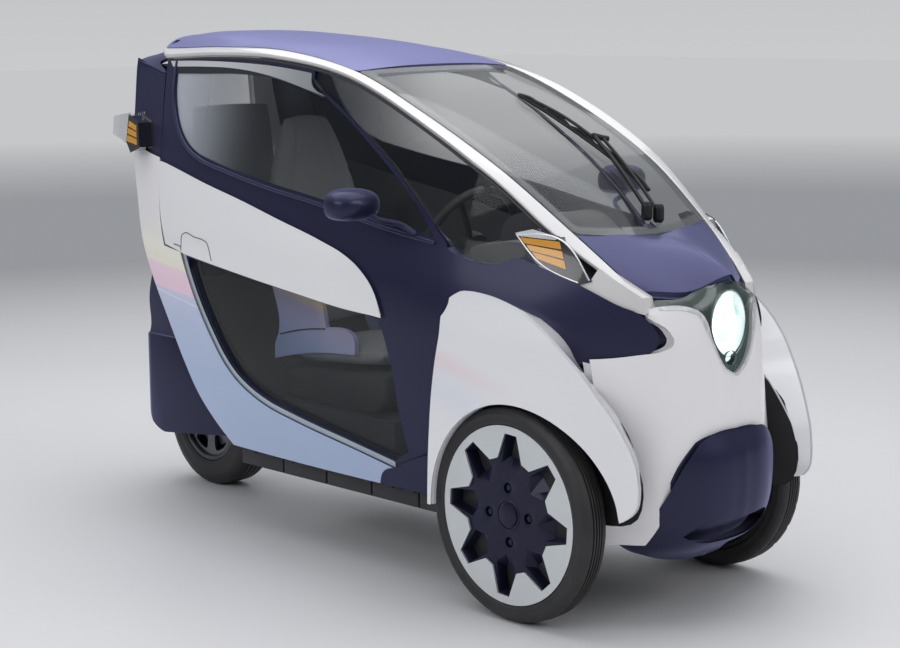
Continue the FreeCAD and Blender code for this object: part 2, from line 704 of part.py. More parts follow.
leg_left = Part.makeBox(56, 16, 250, Vector(rear_x - 28, 76, rear_z - 28))
crown = Part.makeBox(90, 184, 20, Vector(rear_x - 45, -92, rear_z + 222))
axle = Part.makeCylinder(axle_r, 184, Vector(rear_x, -92, rear_z), Vector(0, 1, 0))
stem = Part.makeCylinder(size("stem_radius"), 120, Vector(rear_x, 0, rear_z + 242), Vector(0, 0, 1))
shaped_part("rear_fork", leg_right.fuse([leg_left, crown, axle, stem]).removeSplitter())

rear_fender_half = 150
rear_fender_outline = [
    [(-1480, 470), (-1880, 476)],
    [(-1880, 476), (-1938, 432)],
    [(-1938, 432), (-1930, 360), (-1898, 248), (-1872, 203), (-1836, 178), (-1796, 168)],
    [(-1796, 168), (-1483, 202)],
    [(-1483, 202), (-1480, 470)],
]


def rear_fender_plan(inset):
    """Prism with the rear fender's plan, round at the back, moved inwards by inset."""
    half_width = rear_fender_half - inset
    back = [(-1860, half_width), (-1905 + inset, 0.85 * half_width), (-1936 + inset, 0.4 * half_width),
            (-1942 + inset, 0)]
    curve = [Vector(x, y, 0) for x, y in back] + [Vector(x, -y, 0) for x, y in reversed(back[:-1])]
    corners = [curve[-1], Vector(-1470, -half_width, 0), Vector(-1470, half_width, 0), curve[0]]
    edges = [Part.makeLine(corners[i], corners[i + 1]) for i in range(3)] + [spline_edge(curve)]
    return Part.Face(Part.Wire(edges)).extrude(Vector(0, 0, 600))


fender_block = side_outline(rear_fender_outline, -rear_fender_half, rear_fender_half)
fender_room = side_outline(polygon([(-1470, 458), (-1900, 460), (-1926, 440), (-1922, 404), (-1960, 380), (-1960, 150),
                                    (-1470, 150)]), -rear_fender_half, rear_fender_half)
fender_room = fender_room.common(rear_fender_plan(skin))
stem_hole = Part.makeCylinder(size("stem_radius") + 1, 80, Vector(rear_x, 0, 420), Vector(0, 0, 1))
plate_holes = [Part.makeCylinder(size("plate_hole_radius"), 60, Vector(-1960, y, 425), Vector(1, 0, 0))
               for y in (-size("plate_hole_spacing") / 2, size("plate_hole_spacing") / 2)]
rear_fender = fender_block.common(rear_fender_plan(0)).cut([fender_room, stem_hole] + plate_holes)
shaped_part("rear_fender", rear_fender)

# Tail: closed block over the steered wheel, and the back panel with its window
tail_profile = [(480, -1788), (620, -1757), (700, -1738), (800, -1716), (950, -1730), (1100, -1748),
                (1250, -1746), (1400, -1726)]
tail_plan = [(0, 0), (100, 3), (200, 16), (262, 40), (318, 92)]


def tail_skin(low, high, proud):
    rows = []
    for z in spread(low, high, 9):
        half = [Vector(along(tail_profile, z) + drop - proud, y, z) for y, drop in tail_plan]
        rows.append([Vector(v.x, -v.y, v.z) for v in reversed(half[1:])] + half)
    return surface_through(rows)


tail_half = 235
tail_split = 802
tail = tail_skin(480, 1400, 0).extrude(Vector(500, 0, 0))
tail_room = Part.makeBox(500, 2 * tail_half, tail_split - 502, Vector(-1500 - 500, -tail_half, 502))
stem_bore = Part.makeCylinder(size("stem_radius") + size("running_clearance"), 130, Vector(rear_x, 0, 490),
                              Vector(0, 0, 1))
shaped_part("tail_block", tail.common(tail_room).cut(stem_bore))
back_outline = [
    [(-308, tail_split + 2), (308, tail_split + 2)],
    [(308, tail_split + 2), (309, 950), (296, 1056)],
    [(296, 1056), (258, 1100)],
    [(258, 1100), (240, 1200), (218, 1314)],
    [(218, 1314), (-218, 1314)],
    [(-218, 1314), (-240, 1200), (-258, 1100)],
    [(-258, 1100), (-296, 1056)],
    [(-296, 1056), (-309, 950), (-308, tail_split + 2)],
]
back_room = front_outline(back_outline, -1900, -1300)
back_window_hole = front_outline(polygon([(-185, 1110), (185, 1110), (165, 1288), (-165, 1288)]), -1900, -1300)
back_wall = tail_skin(480, 1400, 0).extrude(Vector(26, 0, 0))
quarter_room = side_panel(quarter_outline, 2, wall + 4)
skirt_room = side_panel(skirt_outline, 8, wall + 4)
side_rooms = [quarter_room, mirrored(quarter_room), skirt_room, mirrored(skirt_room)]
shaped_part("back_panel", back_wall.common(back_room).cut([back_window_hole] + side_rooms))
pane = tail_skin(480, 1400, -8).extrude(Vector(glass, 0, 0))
shaped_part("back_window", pane.common(back_window_hole))

# Rear quarters, joined by the deck behind the roof and by the riser that closes the roof's rear end
deck_thickness = 14
inside_right = side_skin(0).extrude(Vector(0, 600, 0))
deck_room = Part.makeBox(260, 600, deck_thickness, Vector(-1850, -300, deck_top - deck_thickness))
deck = tail.common(deck_room).common(inside_right).common(mirrored(inside_right))
under_roof = roof_skin.translated(Vector(0, 0, -25)).extrude(Vector(0, 0, 300))
riser = Part.makeBox(12, 2 * 234, 90, Vector(-1602, -234, deck_top - deck_thickness)).cut(under_roof)
shaped_part("rear_quarters", quarter_right.fuse([mirrored(quarter_right), deck, riser]).removeSplitter())

# Tail lamp winglets at the belt's rear end
winglet_outline = polygon([(-1745, 1162), (-1658, 1174), (-1598, 1156), (-1570, 1078), (-1625, 1064), (-1742, 1120)])
winglet = side_panel(winglet_outline, 52, 51.5).cut(side_panel(skirt_outline, 7, 20))
pair("tail_lamps", winglet)

# Seats, dashboard and steering
half = size("seat_half_width")


def seat_solid(points, half_width, radius):
    solid = side_outline(polygon(points), -half_width, half_width)
    return solid.makeFillet(radius, solid.Edges)


front_cushion = seat_solid([(-1120, 470), (-700, 500), (-700, 580), (-1120, 550)], half, 25)
front_back = seat_solid([(-1215, 560), (-1130, 560), (-1220, 1180), (-1290, 1180)], half - 20, 25)
shaped_part("front_seat", Part.makeCompound([front_cushion, front_back]))
shaped_part("front_seat_shell", side_outline(polygon([(-1140, 376), (-740, 376), (-690, 420), (-690, 498), (-1140, 468)]),
                                             -half, half))
rear_cushion = seat_solid([(-1570, 808), (-1345, 808), (-1345, 856), (-1570, 864)], 150, 20)
rear_back = seat_solid([(-1610, 868), (-1560, 868), (-1590, 1200), (-1640, 1200)], 150, 20)
shaped_part("rear_seat", Part.makeCompound([rear_cushion, rear_back]))
dash_outline = [
    [(-204, 720), (-60, 720)],
    [(-60, 720), (20, 800), (40, 880)],
    [(40, 880), (-120, 905), (-300, 880)],
    [(-300, 880), (-320, 820), (-204, 720)],
]
shaped_part("dashboard", side_outline(dash_outline, -235, 235))
column_tilt = 24
column_out = Vector(-math.cos(math.radians(column_tilt)), 0, math.sin(math.radians(column_tilt)))
wheel_centre = Vector(-560, 0, 845)
column_start = wheel_centre - column_out * 300
shaped_part("steering_column", rod(column_start, wheel_centre - column_out * 36, 22).cut(
    side_outline(dash_outline, -235, 235)))
steering_rim = Part.makeTorus(size("steering_wheel_radius"), size("steering_rim_radius"), wheel_centre, column_out)
steering_hub = Part.makeCylinder(46, 34, wheel_centre - column_out * 30, column_out)
spoke_pieces = []
for turn in (0, 120, 240):
    across_wheel = Rotation(column_out, turn).multVec(Vector(0, 1, 0))
    spoke_pieces.append(rod(wheel_centre - column_out * 12, wheel_centre + across_wheel * size("steering_wheel_radius"),
                            9))
shaped_part("steering_wheel", steering_rim.fuse([steering_hub] + spoke_pieces).removeSplitter())

# Wiper on the windscreen: a foot, two arms and a blade that follows the glass


def above_glass(x, y, height):
    """Point at this height above the windscreen."""
    plumb = Part.makeLine(Vector(x, y, 800), Vector(x, y, 1500))
    return Vector(x, y, screen.common(plumb).BoundBox.ZMax + height)


def bent_rod(points, radius):
    """Round bar through the points, with a ball at each bend."""
    bars = [rod(a, b, radius) for a, b in zip(points, points[1:])]
    balls = [Part.makeSphere(radius, point) for point in points[1:-1]]
    return bars[0].fuse(bars[1:] + balls)


foot_radius, foot_height = 16, 26
wiper_foot = above_glass(66, 20, 20)
wiper_knee = above_glass(-180, 90, 30)
second_foot = above_glass(76, 52, 20)
second_knee = above_glass(-170, 112, 30)
blade_line = [above_glass(-420 + 82 * i, 60 + 10 * i, 10) for i in range(6)]
foot_block = Part.makeCylinder(foot_radius, foot_height, above_glass(66, 20, 10), Vector(0, 0, 1))
foot_pin = Part.makeCylinder(foot_radius - 5, 40, above_glass(66, 20, -10), Vector(0, 0, 1))
wiper = bent_rod(blade_line, 7).fuse([rod(wiper_foot, wiper_knee, 6), rod(second_foot, second_knee, 5), foot_block,
                                      foot_pin, rod(wiper_knee, second_knee, 5), rod(wiper_knee, blade_line[3], 5),
                                      rod(wiper_foot, second_foot, 6)])
below_glass = screen_skin.translated(Vector(0, 0, 0.2)).extrude(Vector(0, 0, -60))
shaped_part("wiper", wiper.cut(below_glass).removeSplitter())

# Check and write
doc.recompute()
for thing in doc.Objects:
    if "Invalid" in thing.State or "Error" in thing.State:
        raise SystemExit("failed object: " + thing.Label)
for thing in sub_parts:
    shape = thing.Shape
    if shape.isNull() or not shape.isValid() or shape.Volume <= 0:
        raise SystemExit("bad shape: " + thing.Label)
os.makedirs("parts", exist_ok=True)
whole = FreeCAD.BoundBox()
for thing in sub_parts:
    thing.Shape.exportStep(os.path.join("parts", thing.Label + ".step"))
    whole.add(thing.Shape.BoundBox)
    print("%-26s solids %d volume %.1f cm3" % (thing.Label, len(thing.Shape.Solids), thing.Shape.Volume / 1000))
print("whole box", whole, "parts", len(sub_parts))
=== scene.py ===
import math

import bmesh
import bpy
import numpy as np
from mathutils import Matrix, Vector, bvhtree, geometry


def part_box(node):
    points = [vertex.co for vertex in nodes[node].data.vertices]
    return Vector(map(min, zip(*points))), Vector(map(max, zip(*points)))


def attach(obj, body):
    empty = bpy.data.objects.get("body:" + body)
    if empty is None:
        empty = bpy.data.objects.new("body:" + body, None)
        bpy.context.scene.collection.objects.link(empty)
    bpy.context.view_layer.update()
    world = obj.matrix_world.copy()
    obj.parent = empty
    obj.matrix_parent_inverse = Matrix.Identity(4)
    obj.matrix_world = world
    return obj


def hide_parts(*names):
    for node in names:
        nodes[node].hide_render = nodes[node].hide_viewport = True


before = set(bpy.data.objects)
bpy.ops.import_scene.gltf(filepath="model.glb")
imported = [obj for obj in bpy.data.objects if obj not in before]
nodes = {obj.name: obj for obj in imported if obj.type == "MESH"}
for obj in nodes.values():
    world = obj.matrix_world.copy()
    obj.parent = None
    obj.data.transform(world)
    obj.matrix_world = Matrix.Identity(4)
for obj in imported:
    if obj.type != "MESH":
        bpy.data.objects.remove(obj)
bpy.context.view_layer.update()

# The studio: a pale floor, a pale surrounding and soft lamps overhead and to the sides.
# The camera stands ahead of the car on its right, a little above the belt line.
camera_place = Vector((4.186, -3.740, 1.484))
camera_yaw, camera_pitch, camera_roll = 2.3963, -0.1554, -0.0098
camera_lens = 81.33
sensor_width = 36
floor_reach = 40.0
melt_radius, melt_softness = 4.2, 2.2
floor_ramp_reach = 30.0

ahead = Vector((math.cos(camera_pitch) * math.cos(camera_yaw), math.cos(camera_pitch) * math.sin(camera_yaw),
                math.sin(camera_pitch)))
level = ahead.cross(Vector((0, 0, 1))).normalized()
upright = level.cross(ahead)
side = math.cos(camera_roll) * level + math.sin(camera_roll) * upright
up = math.cos(camera_roll) * upright - math.sin(camera_roll) * level
camera = bpy.data.objects.new("camera", bpy.data.cameras.new("camera"))
camera.data.lens = camera_lens
camera.data.sensor_width = sensor_width
camera.matrix_world = Matrix((
    (side.x, up.x, -ahead.x, camera_place.x),
    (side.y, up.y, -ahead.y, camera_place.y),
    (side.z, up.z, -ahead.z, camera_place.z),
    (0, 0, 0, 1)))
scene = bpy.context.scene
scene.collection.objects.link(camera)
scene.camera = camera
scene.view_settings.view_transform = "Standard"


def set_stops(ramp, stops):
    """Colours of a ramp, given as (place from 0 to 1, colour)."""
    while len(ramp.elements) < len(stops):
        ramp.elements.new(0.5)
    for element, (place, colour) in zip(ramp.elements, stops):
        element.position = place
        element.color = (*colour, 1)


class Signal:
    """A shader socket that takes arithmetic: each operation adds its Math node."""

    def __init__(self, finish, socket):
        self.finish = finish
        self.socket = socket

    def math(self, operation, first, second=None):
        return self.finish.node("ShaderNodeMath", {"operation": operation}, first, second)

    def __add__(self, other):
        return self.math("ADD", self, other)

    __radd__ = __add__

    def __sub__(self, other):
        return self.math("SUBTRACT", self, other)

    def __rsub__(self, other):
        return self.math("SUBTRACT", other, self)

    def __mul__(self, other):
        return self.math("MULTIPLY", self, other)

    __rmul__ = __mul__

    def __truediv__(self, other):
        return self.math("DIVIDE", self, other)

    def above(self, edge, softness):
        """0 below edge, 1 above it, over a soft step."""
        return self.finish.node("ShaderNodeMapRange", {"interpolation_type": "SMOOTHSTEP"}, self,
                                edge - softness, edge + softness)

    def near(self, value, reach, softness):
        """1 within reach of value, 0 away from it, over a soft step."""
        return 1 - self.math("ABSOLUTE", self - value).above(reach, softness)


class Finish:
    """One material: a Principled shader and the nodes that feed it."""

    def __init__(self, name, base=(0.8, 0.8, 0.8), **constants):
        self.material = bpy.data.materials.new(name)
        self.material.use_nodes = True
        self.tree = self.material.node_tree
        self.shader = self.tree.nodes["Principled BSDF"]
        self.set("Base Color", (*base, 1))
        for label, value in constants.items():
            self.set(label.replace("_", " "), value)

    def feed(self, socket, value):
        if isinstance(value, Signal):
            self.tree.links.new(value.socket, socket)
        elif value is not None:
            socket.default_value = value

    def set(self, label, value):
        self.feed(self.shader.inputs[label], value)

    def node(self, kind, settings, *inputs, output=0, **named):
        made = self.tree.nodes.new(kind)
        for key, value in settings.items():
            if key == "stops":
                set_stops(made.color_ramp, value)
            else:
                setattr(made, key, value)
        for slot, value in [*enumerate(inputs), *named.items()]:
            self.feed(made.inputs[slot], value)
        return Signal(self, made.outputs[output])

    def place(self):
        return self.node("ShaderNodeTexCoord", {}, output="Object")

    def xyz(self):
        made = self.tree.nodes.new("ShaderNodeSeparateXYZ")
        self.feed(made.inputs[0], self.place())
        return [Signal(self, socket) for socket in made.outputs]

    def noise(self, scale, detail=2.0, roughness=0.5, vector=None):
        return self.node("ShaderNodeTexNoise", {}, Vector=vector or self.place(), Scale=scale, Detail=detail,
                         Roughness=roughness)

    def mix(self, factor, first, second):
        made = self.tree.nodes.new("ShaderNodeMix")
        made.data_type = "RGBA"
        self.feed(made.inputs[0], factor)
        self.feed(made.inputs[6], first if isinstance(first, Signal) else (*first, 1))
        self.feed(made.inputs[7], second if isinstance(second, Signal) else (*second, 1))
        return Signal(self, made.outputs[2])

    def colours(self, factor, first, second):
        self.set("Base Color", self.mix(factor, first, second))

    def facing(self, blend):
        """0 where the surface is seen straight on, towards 1 at its edges."""
        return self.node("ShaderNodeLayerWeight", {}, Blend=blend, output="Facing")

    def bump(self, height, distance, strength=1.0):
        self.set("Normal", self.node("ShaderNodeBump", {}, Height=height, Distance=distance,
                                     Strength=strength))


def studio_floor():
    """Pale painted floor; away from the car, camera rays see it glow in a grey ramp with a darker band:
    painted light and painted falloff shade.
    """
    finish = Finish("studio_floor", Roughness=0.5)
    cloud = finish.noise(0.8, 3.0)
    finish.colours(cloud, (0.60, 0.60, 0.61), (0.64, 0.64, 0.645))
    tree = finish.tree
    x, y, _ = finish.xyz()
    reach = finish.node("ShaderNodeMath", {"operation": "SQRT"}, x * x + y * y)
    glow = tree.nodes.new("ShaderNodeEmission")
    # Painted light: the far floor glows in this ramp, and its darker band is painted falloff shade.
    painted_falloff_ramp = finish.node("ShaderNodeValToRGB", {"stops": [
        (0.0, (0.60, 0.60, 0.61)), (0.12, (0.52, 0.53, 0.54)), (0.22, (0.30, 0.31, 0.33)),
        (0.36, (0.30, 0.31, 0.33)), (0.6, (0.56, 0.57, 0.58))]}, reach / floor_ramp_reach)
    tree.links.new(painted_falloff_ramp.socket, glow.inputs["Color"])
    rays = tree.nodes.new("ShaderNodeLightPath")
    share = reach.above(melt_radius, melt_softness) * Signal(finish, rays.outputs["Is Camera Ray"])
    blend = tree.nodes.new("ShaderNodeMixShader")
    tree.links.new(share.socket, blend.inputs[0])
    tree.links.new(finish.shader.outputs[0], blend.inputs[1])
    tree.links.new(glow.outputs[0], blend.inputs[2])
    tree.links.new(blend.outputs[0], tree.nodes["Material Output"].inputs["Surface"])
    return finish.material


floor_mesh = bpy.data.meshes.new("floor")
floor_mesh.from_pydata([(-floor_reach, -floor_reach, 0), (floor_reach, -floor_reach, 0),
                        (floor_reach, floor_reach, 0), (-floor_reach, floor_reach, 0)],
                       [], [(0, 1, 2, 3)])
floor_mesh.materials.append(studio_floor())
floor = bpy.data.objects.new("floor", floor_mesh)
scene.collection.objects.link(floor)

world = bpy.data.worlds.new("surround")
world.use_nodes = True
scene.world = world
sky = world.node_tree


def sky_ramp(stops, strength):
    """Background whose grey follows the height of the view: stops as (height from -1 to 1, colour)."""
    coordinates = sky.nodes.new("ShaderNodeTexCoord")
    split = sky.nodes.new("ShaderNodeSeparateXYZ")
    spread_ = sky.nodes.new("ShaderNodeMapRange")
    spread_.inputs["From Min"].default_value = -1
    ramp = sky.nodes.new("ShaderNodeValToRGB")
    set_stops(ramp.color_ramp, [((height + 1) / 2, colour) for height, colour in stops])
    shade = sky.nodes.new("ShaderNodeBackground")
    shade.inputs["Strength"].default_value = strength
    sky.links.new(coordinates.outputs["Generated"], split.inputs[0])
    sky.links.new(split.outputs["Z"], spread_.inputs["Value"])
    sky.links.new(spread_.outputs[0], ramp.inputs[0])
    sky.links.new(ramp.outputs[0], shade.inputs["Color"])
    return shade


sky_light = sky_ramp([(-1.0, (0.5, 0.5, 0.51)), (0.0, (0.16, 0.165, 0.175)), (0.25, (0.30, 0.31, 0.33)),
                      (0.7, (0.85, 0.87, 0.92))], 0.85)
sky_seen = sky_ramp([(-0.5, (0.50, 0.50, 0.51)), (-0.075, (0.62, 0.63, 0.64)), (0.0, (0.56, 0.57, 0.58)),
                     (0.10, (0.33, 0.34, 0.35)), (0.30, (0.26, 0.27, 0.28))], 1.0)
sky_rays = sky.nodes.new("ShaderNodeLightPath")
sky_mix = sky.nodes.new("ShaderNodeMixShader")
sky.links.new(sky_rays.outputs["Is Camera Ray"], sky_mix.inputs[0])
sky.links.new(sky_light.outputs[0], sky_mix.inputs[1])
sky.links.new(sky_seen.outputs[0], sky_mix.inputs[2])
sky.links.new(sky_mix.outputs[0], sky.nodes["World Output"].inputs["Surface"])


def soft_lamp(name, place, target, width, height, power):
    lamp = bpy.data.lights.new(name, "AREA")
    lamp.shape = "RECTANGLE"
    lamp.size = width
    lamp.size_y = height
    lamp.energy = power
    holder = bpy.data.objects.new(name, lamp)
    holder.location = place
    holder.rotation_euler = (Vector(target) - Vector(place)).to_track_quat("-Z", "Y").to_euler()
    scene.collection.objects.link(holder)


soft_lamp("overhead", (-0.2, 0.3, 4.4), (0, 0, 0.6), 6.5, 4.5, 120)
soft_lamp("right_side", (0.8, -5.0, 3.0), (0, 0, 0.7), 5.0, 2.0, 72)
soft_lamp("front", (5.2, 1.4, 3.0), (0.6, 0, 0.6), 3.0, 2.0, 56)
soft_lamp("rear", (-3.2, 3.6, 5.2), (0, 0, 0.8), 5.0, 4.0, 52)

# The floor tub, the sills under the doors and the battery in the floor.
# Dark grained plastic over a frame, bolted together underneath, with a row of ribs along each sill.
axle_x = (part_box("front_tyre_right")[0].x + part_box("front_tyre_right")[1].x) / 2


def to_metres(points):
    """Millimetres measured from the front axle, as metres in the car's own frame."""
    placed = np.asarray(points, float) / 1000
    return placed + np.array([axle_x, 0, 0])


def link_piece(name, mesh, material, body, slot, *replaced):
    """Give a mesh its material and body, and let it stand for the named solids. The slot is not used."""
    mesh.materials.clear()
    mesh.materials.append(material)
    piece = bpy.data.objects.new(name, mesh)
    scene.collection.objects.link(piece)
    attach(piece, body)
    if replaced:
        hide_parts(*replaced)
    return piece


def recoat(node, material):
    """A new material on a solid whose shape stays."""
    nodes[node].data.materials.clear()
    nodes[node].data.materials.append(material)


def grained_plastic(name, tone, grain=900.0, shine=0.55):
    """Moulded plastic with a fine leathery grain and slightly worn high spots."""
    finish = Finish(name)
    fine = finish.noise(grain, 2.0)
    broad = finish.noise(14.0, 3.0)
    light = tuple(min(1.0, c * 1.5 + 0.004) for c in tone)
    finish.colours(broad * 0.7, tone, light)
    finish.set("Roughness", shine + (broad - 0.5) * 0.2)
    finish.bump(fine, 0.00005, 0.1)
    return finish.material


def satin_black_metal(name, tone=(0.022, 0.022, 0.025)):
    """Black coated steel: satin, with a light orange peel and dust in broad patches."""
    finish = Finish(name, Metallic=0.35)
    peel = finish.noise(220.0, 1.0)
    dust = finish.noise(9.0, 4.0)
    finish.colours(dust.above(0.62, 0.12), tone, (0.055, 0.052, 0.05))
    finish.set("Roughness", 0.38 + dust * 0.25)
    finish.bump(peel, 0.0003, 0.4)
    return finish.material


tub_plastic = grained_plastic("tub_plastic", (0.018, 0.018, 0.020))
recoat("floor_tub", tub_plastic)
recoat("battery_block", grained_plastic("battery_plastic", (0.03, 0.03, 0.034), 500.0))
chassis_black = satin_black_metal("chassis_black")
for chassis_node in ("front_frame", "front_suspension", "rear_fork", "steering_column"):
    recoat(chassis_node, chassis_black)


def finished(name, bm, sharp_angle=38):
    """Mesh from a bmesh, smooth with sharp edges."""
    mesh = bpy.data.meshes.new(name)
    bm.to_mesh(mesh)
    bm.free()
    mesh.polygons.foreach_set("use_smooth", [True] * len(mesh.polygons))
    mesh.set_sharp_from_angle(angle=math.radians(sharp_angle))
    return mesh


def solid_mesh(name, bm, sharp_angle=38):
    """Mesh from a closed bmesh, its faces turned outwards."""
    bmesh.ops.remove_doubles(bm, verts=bm.verts, dist=1e-6)
    bmesh.ops.recalc_face_normals(bm, faces=bm.faces)
    return finished(name, bm, sharp_angle)


def joined(name, meshes):
    """Several meshes as one."""
    bm = bmesh.new()
    for mesh in meshes:
        bm.from_mesh(mesh)
    return finished(name, bm)


def mirror_of(mesh, name):
    """The same piece for the car's left side."""
    bm = bmesh.new()
    bm.from_mesh(mesh)
    for vert in bm.verts:
        vert.co.y = -vert.co.y
    bmesh.ops.reverse_faces(bm, faces=bm.faces)
    return finished(name, bm)


def both_sides(name, right_mesh):
    return joined(name, [right_mesh, mirror_of(right_mesh, name + "_far")])


def link_pair(name, right_mesh, material, slot, *replaced):
    """One piece on the body, made of a right-hand mesh and its mirror image."""
    return link_piece(name, both_sides(name, right_mesh), material, "body", slot, *replaced)


def rounded_bar(length, width, height, easing):
    """Closed bar along X with eased edges, centred on the origin."""
    bm = bmesh.new()
    bmesh.ops.create_cube(bm, size=1.0)
    bmesh.ops.scale(bm, vec=(length, width, height), verts=bm.verts)
    bmesh.ops.bevel(bm, geom=list(bm.edges), offset=easing, segments=2, affect="EDGES", profile=0.5)
    return bm


def repeated_along(name, item_mesh, start, end, count, material):
    """Copies of one small mesh at even steps along a line, placed by nodes and made real."""
    tree = bpy.data.node_groups.new(name + "_tree", "GeometryNodeTree")
    tree.interface.new_socket("Geometry", in_out="OUTPUT", socket_type="NodeSocketGeometry")
    line, item, spread, realize, paint, sink = [tree.nodes.new(kind) for kind in (
        "GeometryNodeMeshLine", "GeometryNodeObjectInfo", "GeometryNodeInstanceOnPoints",
        "GeometryNodeRealizeInstances", "GeometryNodeSetMaterial", "NodeGroupOutput")]
    line.mode = "END_POINTS"
    item_object = bpy.data.objects.new(name + "_item", item_mesh)
    scene.collection.objects.link(item_object)
    for node, entry, value in ((line, "Start Location", start), (line, "Offset", end), (line, "Count", count),
                               (item, "Object", item_object), (paint, "Material", material)):
        node.inputs[entry].default_value = value
    for maker, output, user, entry in (
            (line, "Mesh", spread, "Points"), (item, "Geometry", spread, "Instance"),
            (spread, "Instances", realize, "Geometry"), (realize, "Geometry", paint, "Geometry"),
            (paint, "Geometry", sink, "Geometry")):
        tree.links.new(maker.outputs[output], user.inputs[entry])
    carrier = bpy.data.objects.new(name + "_carrier", bpy.data.meshes.new(name + "_carrier"))
    scene.collection.objects.link(carrier)
    carrier.modifiers.new("repeat", "NODES").node_group = tree
    bpy.context.view_layer.update()
    result = bpy.data.meshes.new_from_object(carrier.evaluated_get(bpy.context.evaluated_depsgraph_get()))
    result.name = name
    bpy.data.objects.remove(carrier)
    bpy.data.objects.remove(item_object)
    return result


tub_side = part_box("floor_tub")[1].y + 0.005
plate_count, clip_count = 5, 11
sill_start, sill_end = axle_x - 1.18, axle_x - 0.235
plate_step = (sill_end - sill_start) / plate_count
plate_item = solid_mesh("sill_plate", rounded_bar(plate_step - 0.006, 0.012, 0.050, 0.003))
clip_item = solid_mesh("sill_clip", rounded_bar(0.034, 0.016, 0.010, 0.003))
sill_rows = []
for stem, item, inset, beyond, row_z, count in (
        ("sill_plates_", plate_item, plate_step / 2, 1.0, 0.219, plate_count),
        ("sill_clips_", clip_item, 0.05, 1.012, 0.236, clip_count)):
    for hand, row_y in (("right", -tub_side * beyond), ("left", tub_side * beyond)):
        sill_rows.append(repeated_along(stem + hand, item, (sill_start + inset, row_y, row_z),
                                        (sill_end - inset, row_y, row_z), count, tub_plastic))
link_piece("sill_plates", joined("sill_plates", sill_rows), tub_plastic, "body", "floor_plastic")

# Side skirts: the long pearl-painted plastic strips below and behind the doors, tinted from cream over pink
# to a light blue towards the sill. Each is one moulding, clipped to the floor tub and the tail.


def along(table, value):
    """Values of a smooth curve through (position, value) pairs."""
    xs, ys = np.array(sorted(table), float).T
    value = np.clip(np.asarray(value, float), xs[0], xs[-1])
    i = np.clip(np.searchsorted(xs, value, side="right") - 1, 0, len(xs) - 2)
    slopes = np.empty(len(xs))
    slopes[1:-1] = (ys[2:] - ys[:-2]) / (xs[2:] - xs[:-2])
    slopes[0] = slopes[1]
    slopes[-1] = slopes[-2]
    span = xs[i + 1] - xs[i]
    t = (value - xs[i]) / span
    step = t * t * (3 - 2 * t)
    return (ys[i] + (ys[i + 1] - ys[i]) * step + (t ** 3 - 2 * t ** 2 + t) * span * slopes[i]
            + (t ** 3 - t ** 2) * span * slopes[i + 1])


body_half_width = 420
side_section = [(120, 0.72), (250, 0.80), (420, 0.90), (600, 0.965), (790, 1.0),
                (930, 0.95), (1060, 0.885), (1300, 0.762), (1450, 0.67)]
plan_low = [(-1720, 0.80), (-1450, 0.90), (-1150, 0.965), (-800, 1.0), (-450, 0.99), (-214, 0.95),
            (0, 0.835), (100, 0.72), (165, 0.63), (245, 0.505), (340, 0.34)]
plan_high = [(-1720, 0.80), (-1450, 0.90), (-1150, 0.965), (-800, 1.0), (-450, 0.965), (-214, 0.885),
             (-51, 0.77), (60, 0.68), (147, 0.60), (244, 0.465), (340, 0.34)]
waist_low, waist_high = 650, 930


def side_half_width(x, z):
    t = np.clip((np.asarray(z, float) - waist_low) / (waist_high - waist_low), 0, 1)
    share = t * t * (3 - 2 * t)
    plan = (1 - share) * along(plan_low, x) + share * along(plan_high, x)
    return body_half_width * along(side_section, z) * plan


def body_side(proud):
    """Right-hand body surface as a function of the side view's x and z."""
    return lambda x, z: np.stack([x, -side_half_width(x, z) - proud, z], axis=-1)


def smooth_run(points, pitch):
    """Points about a pitch apart on a smooth curve through the given ones; two give a straight run."""
    points = np.array(points, float)
    chord = np.concatenate([[0], np.cumsum(np.linalg.norm(np.diff(points, axis=0), axis=1))])
    count = max(1, int(round(chord[-1] / pitch)))
    where = np.linspace(0, chord[-1], count + 1)
    if len(points) == 2:
        return points[0] + (points[1] - points[0]) * (where / chord[-1])[:, None]
    gaps = np.diff(chord)[:, None]
    rise = np.diff(points, axis=0) / gaps
    slopes = np.empty_like(points)
    slopes[1:-1] = (rise[:-1] * gaps[1:] + rise[1:] * gaps[:-1]) / (gaps[:-1] + gaps[1:])
    slopes[0] = 1.5 * rise[0] - 0.5 * slopes[1]
    slopes[-1] = 1.5 * rise[-1] - 0.5 * slopes[-2]
    i = np.clip(np.searchsorted(chord, where, side="right") - 1, 0, len(gaps) - 1)
    t = ((where - chord[i]) / gaps[i, 0])[:, None]
    return ((2 * t ** 3 - 3 * t ** 2 + 1) * points[i] + (t ** 3 - 2 * t ** 2 + t) * gaps[i] * slopes[i]
            + (3 * t ** 2 - 2 * t ** 3) * points[i + 1] + (t ** 3 - t ** 2) * gaps[i] * slopes[i + 1])


def inside(points, loop):
    """Which of the flat points lie inside a closed loop."""
    x, y = points[:, 0][:, None], points[:, 1][:, None]
    ax, ay = loop[:, 0], loop[:, 1]
    bx, by = np.roll(ax, -1), np.roll(ay, -1)
    crosses = ((ay > y) != (by > y)) & (x < (bx - ax) * (y - ay) / np.where(by == ay, 1e-9, by - ay) + ax)
    return crosses.sum(axis=1) % 2 == 1


edge_smoothing, sharpest_corner = 5, 0.65
rim_clearance = 0.6


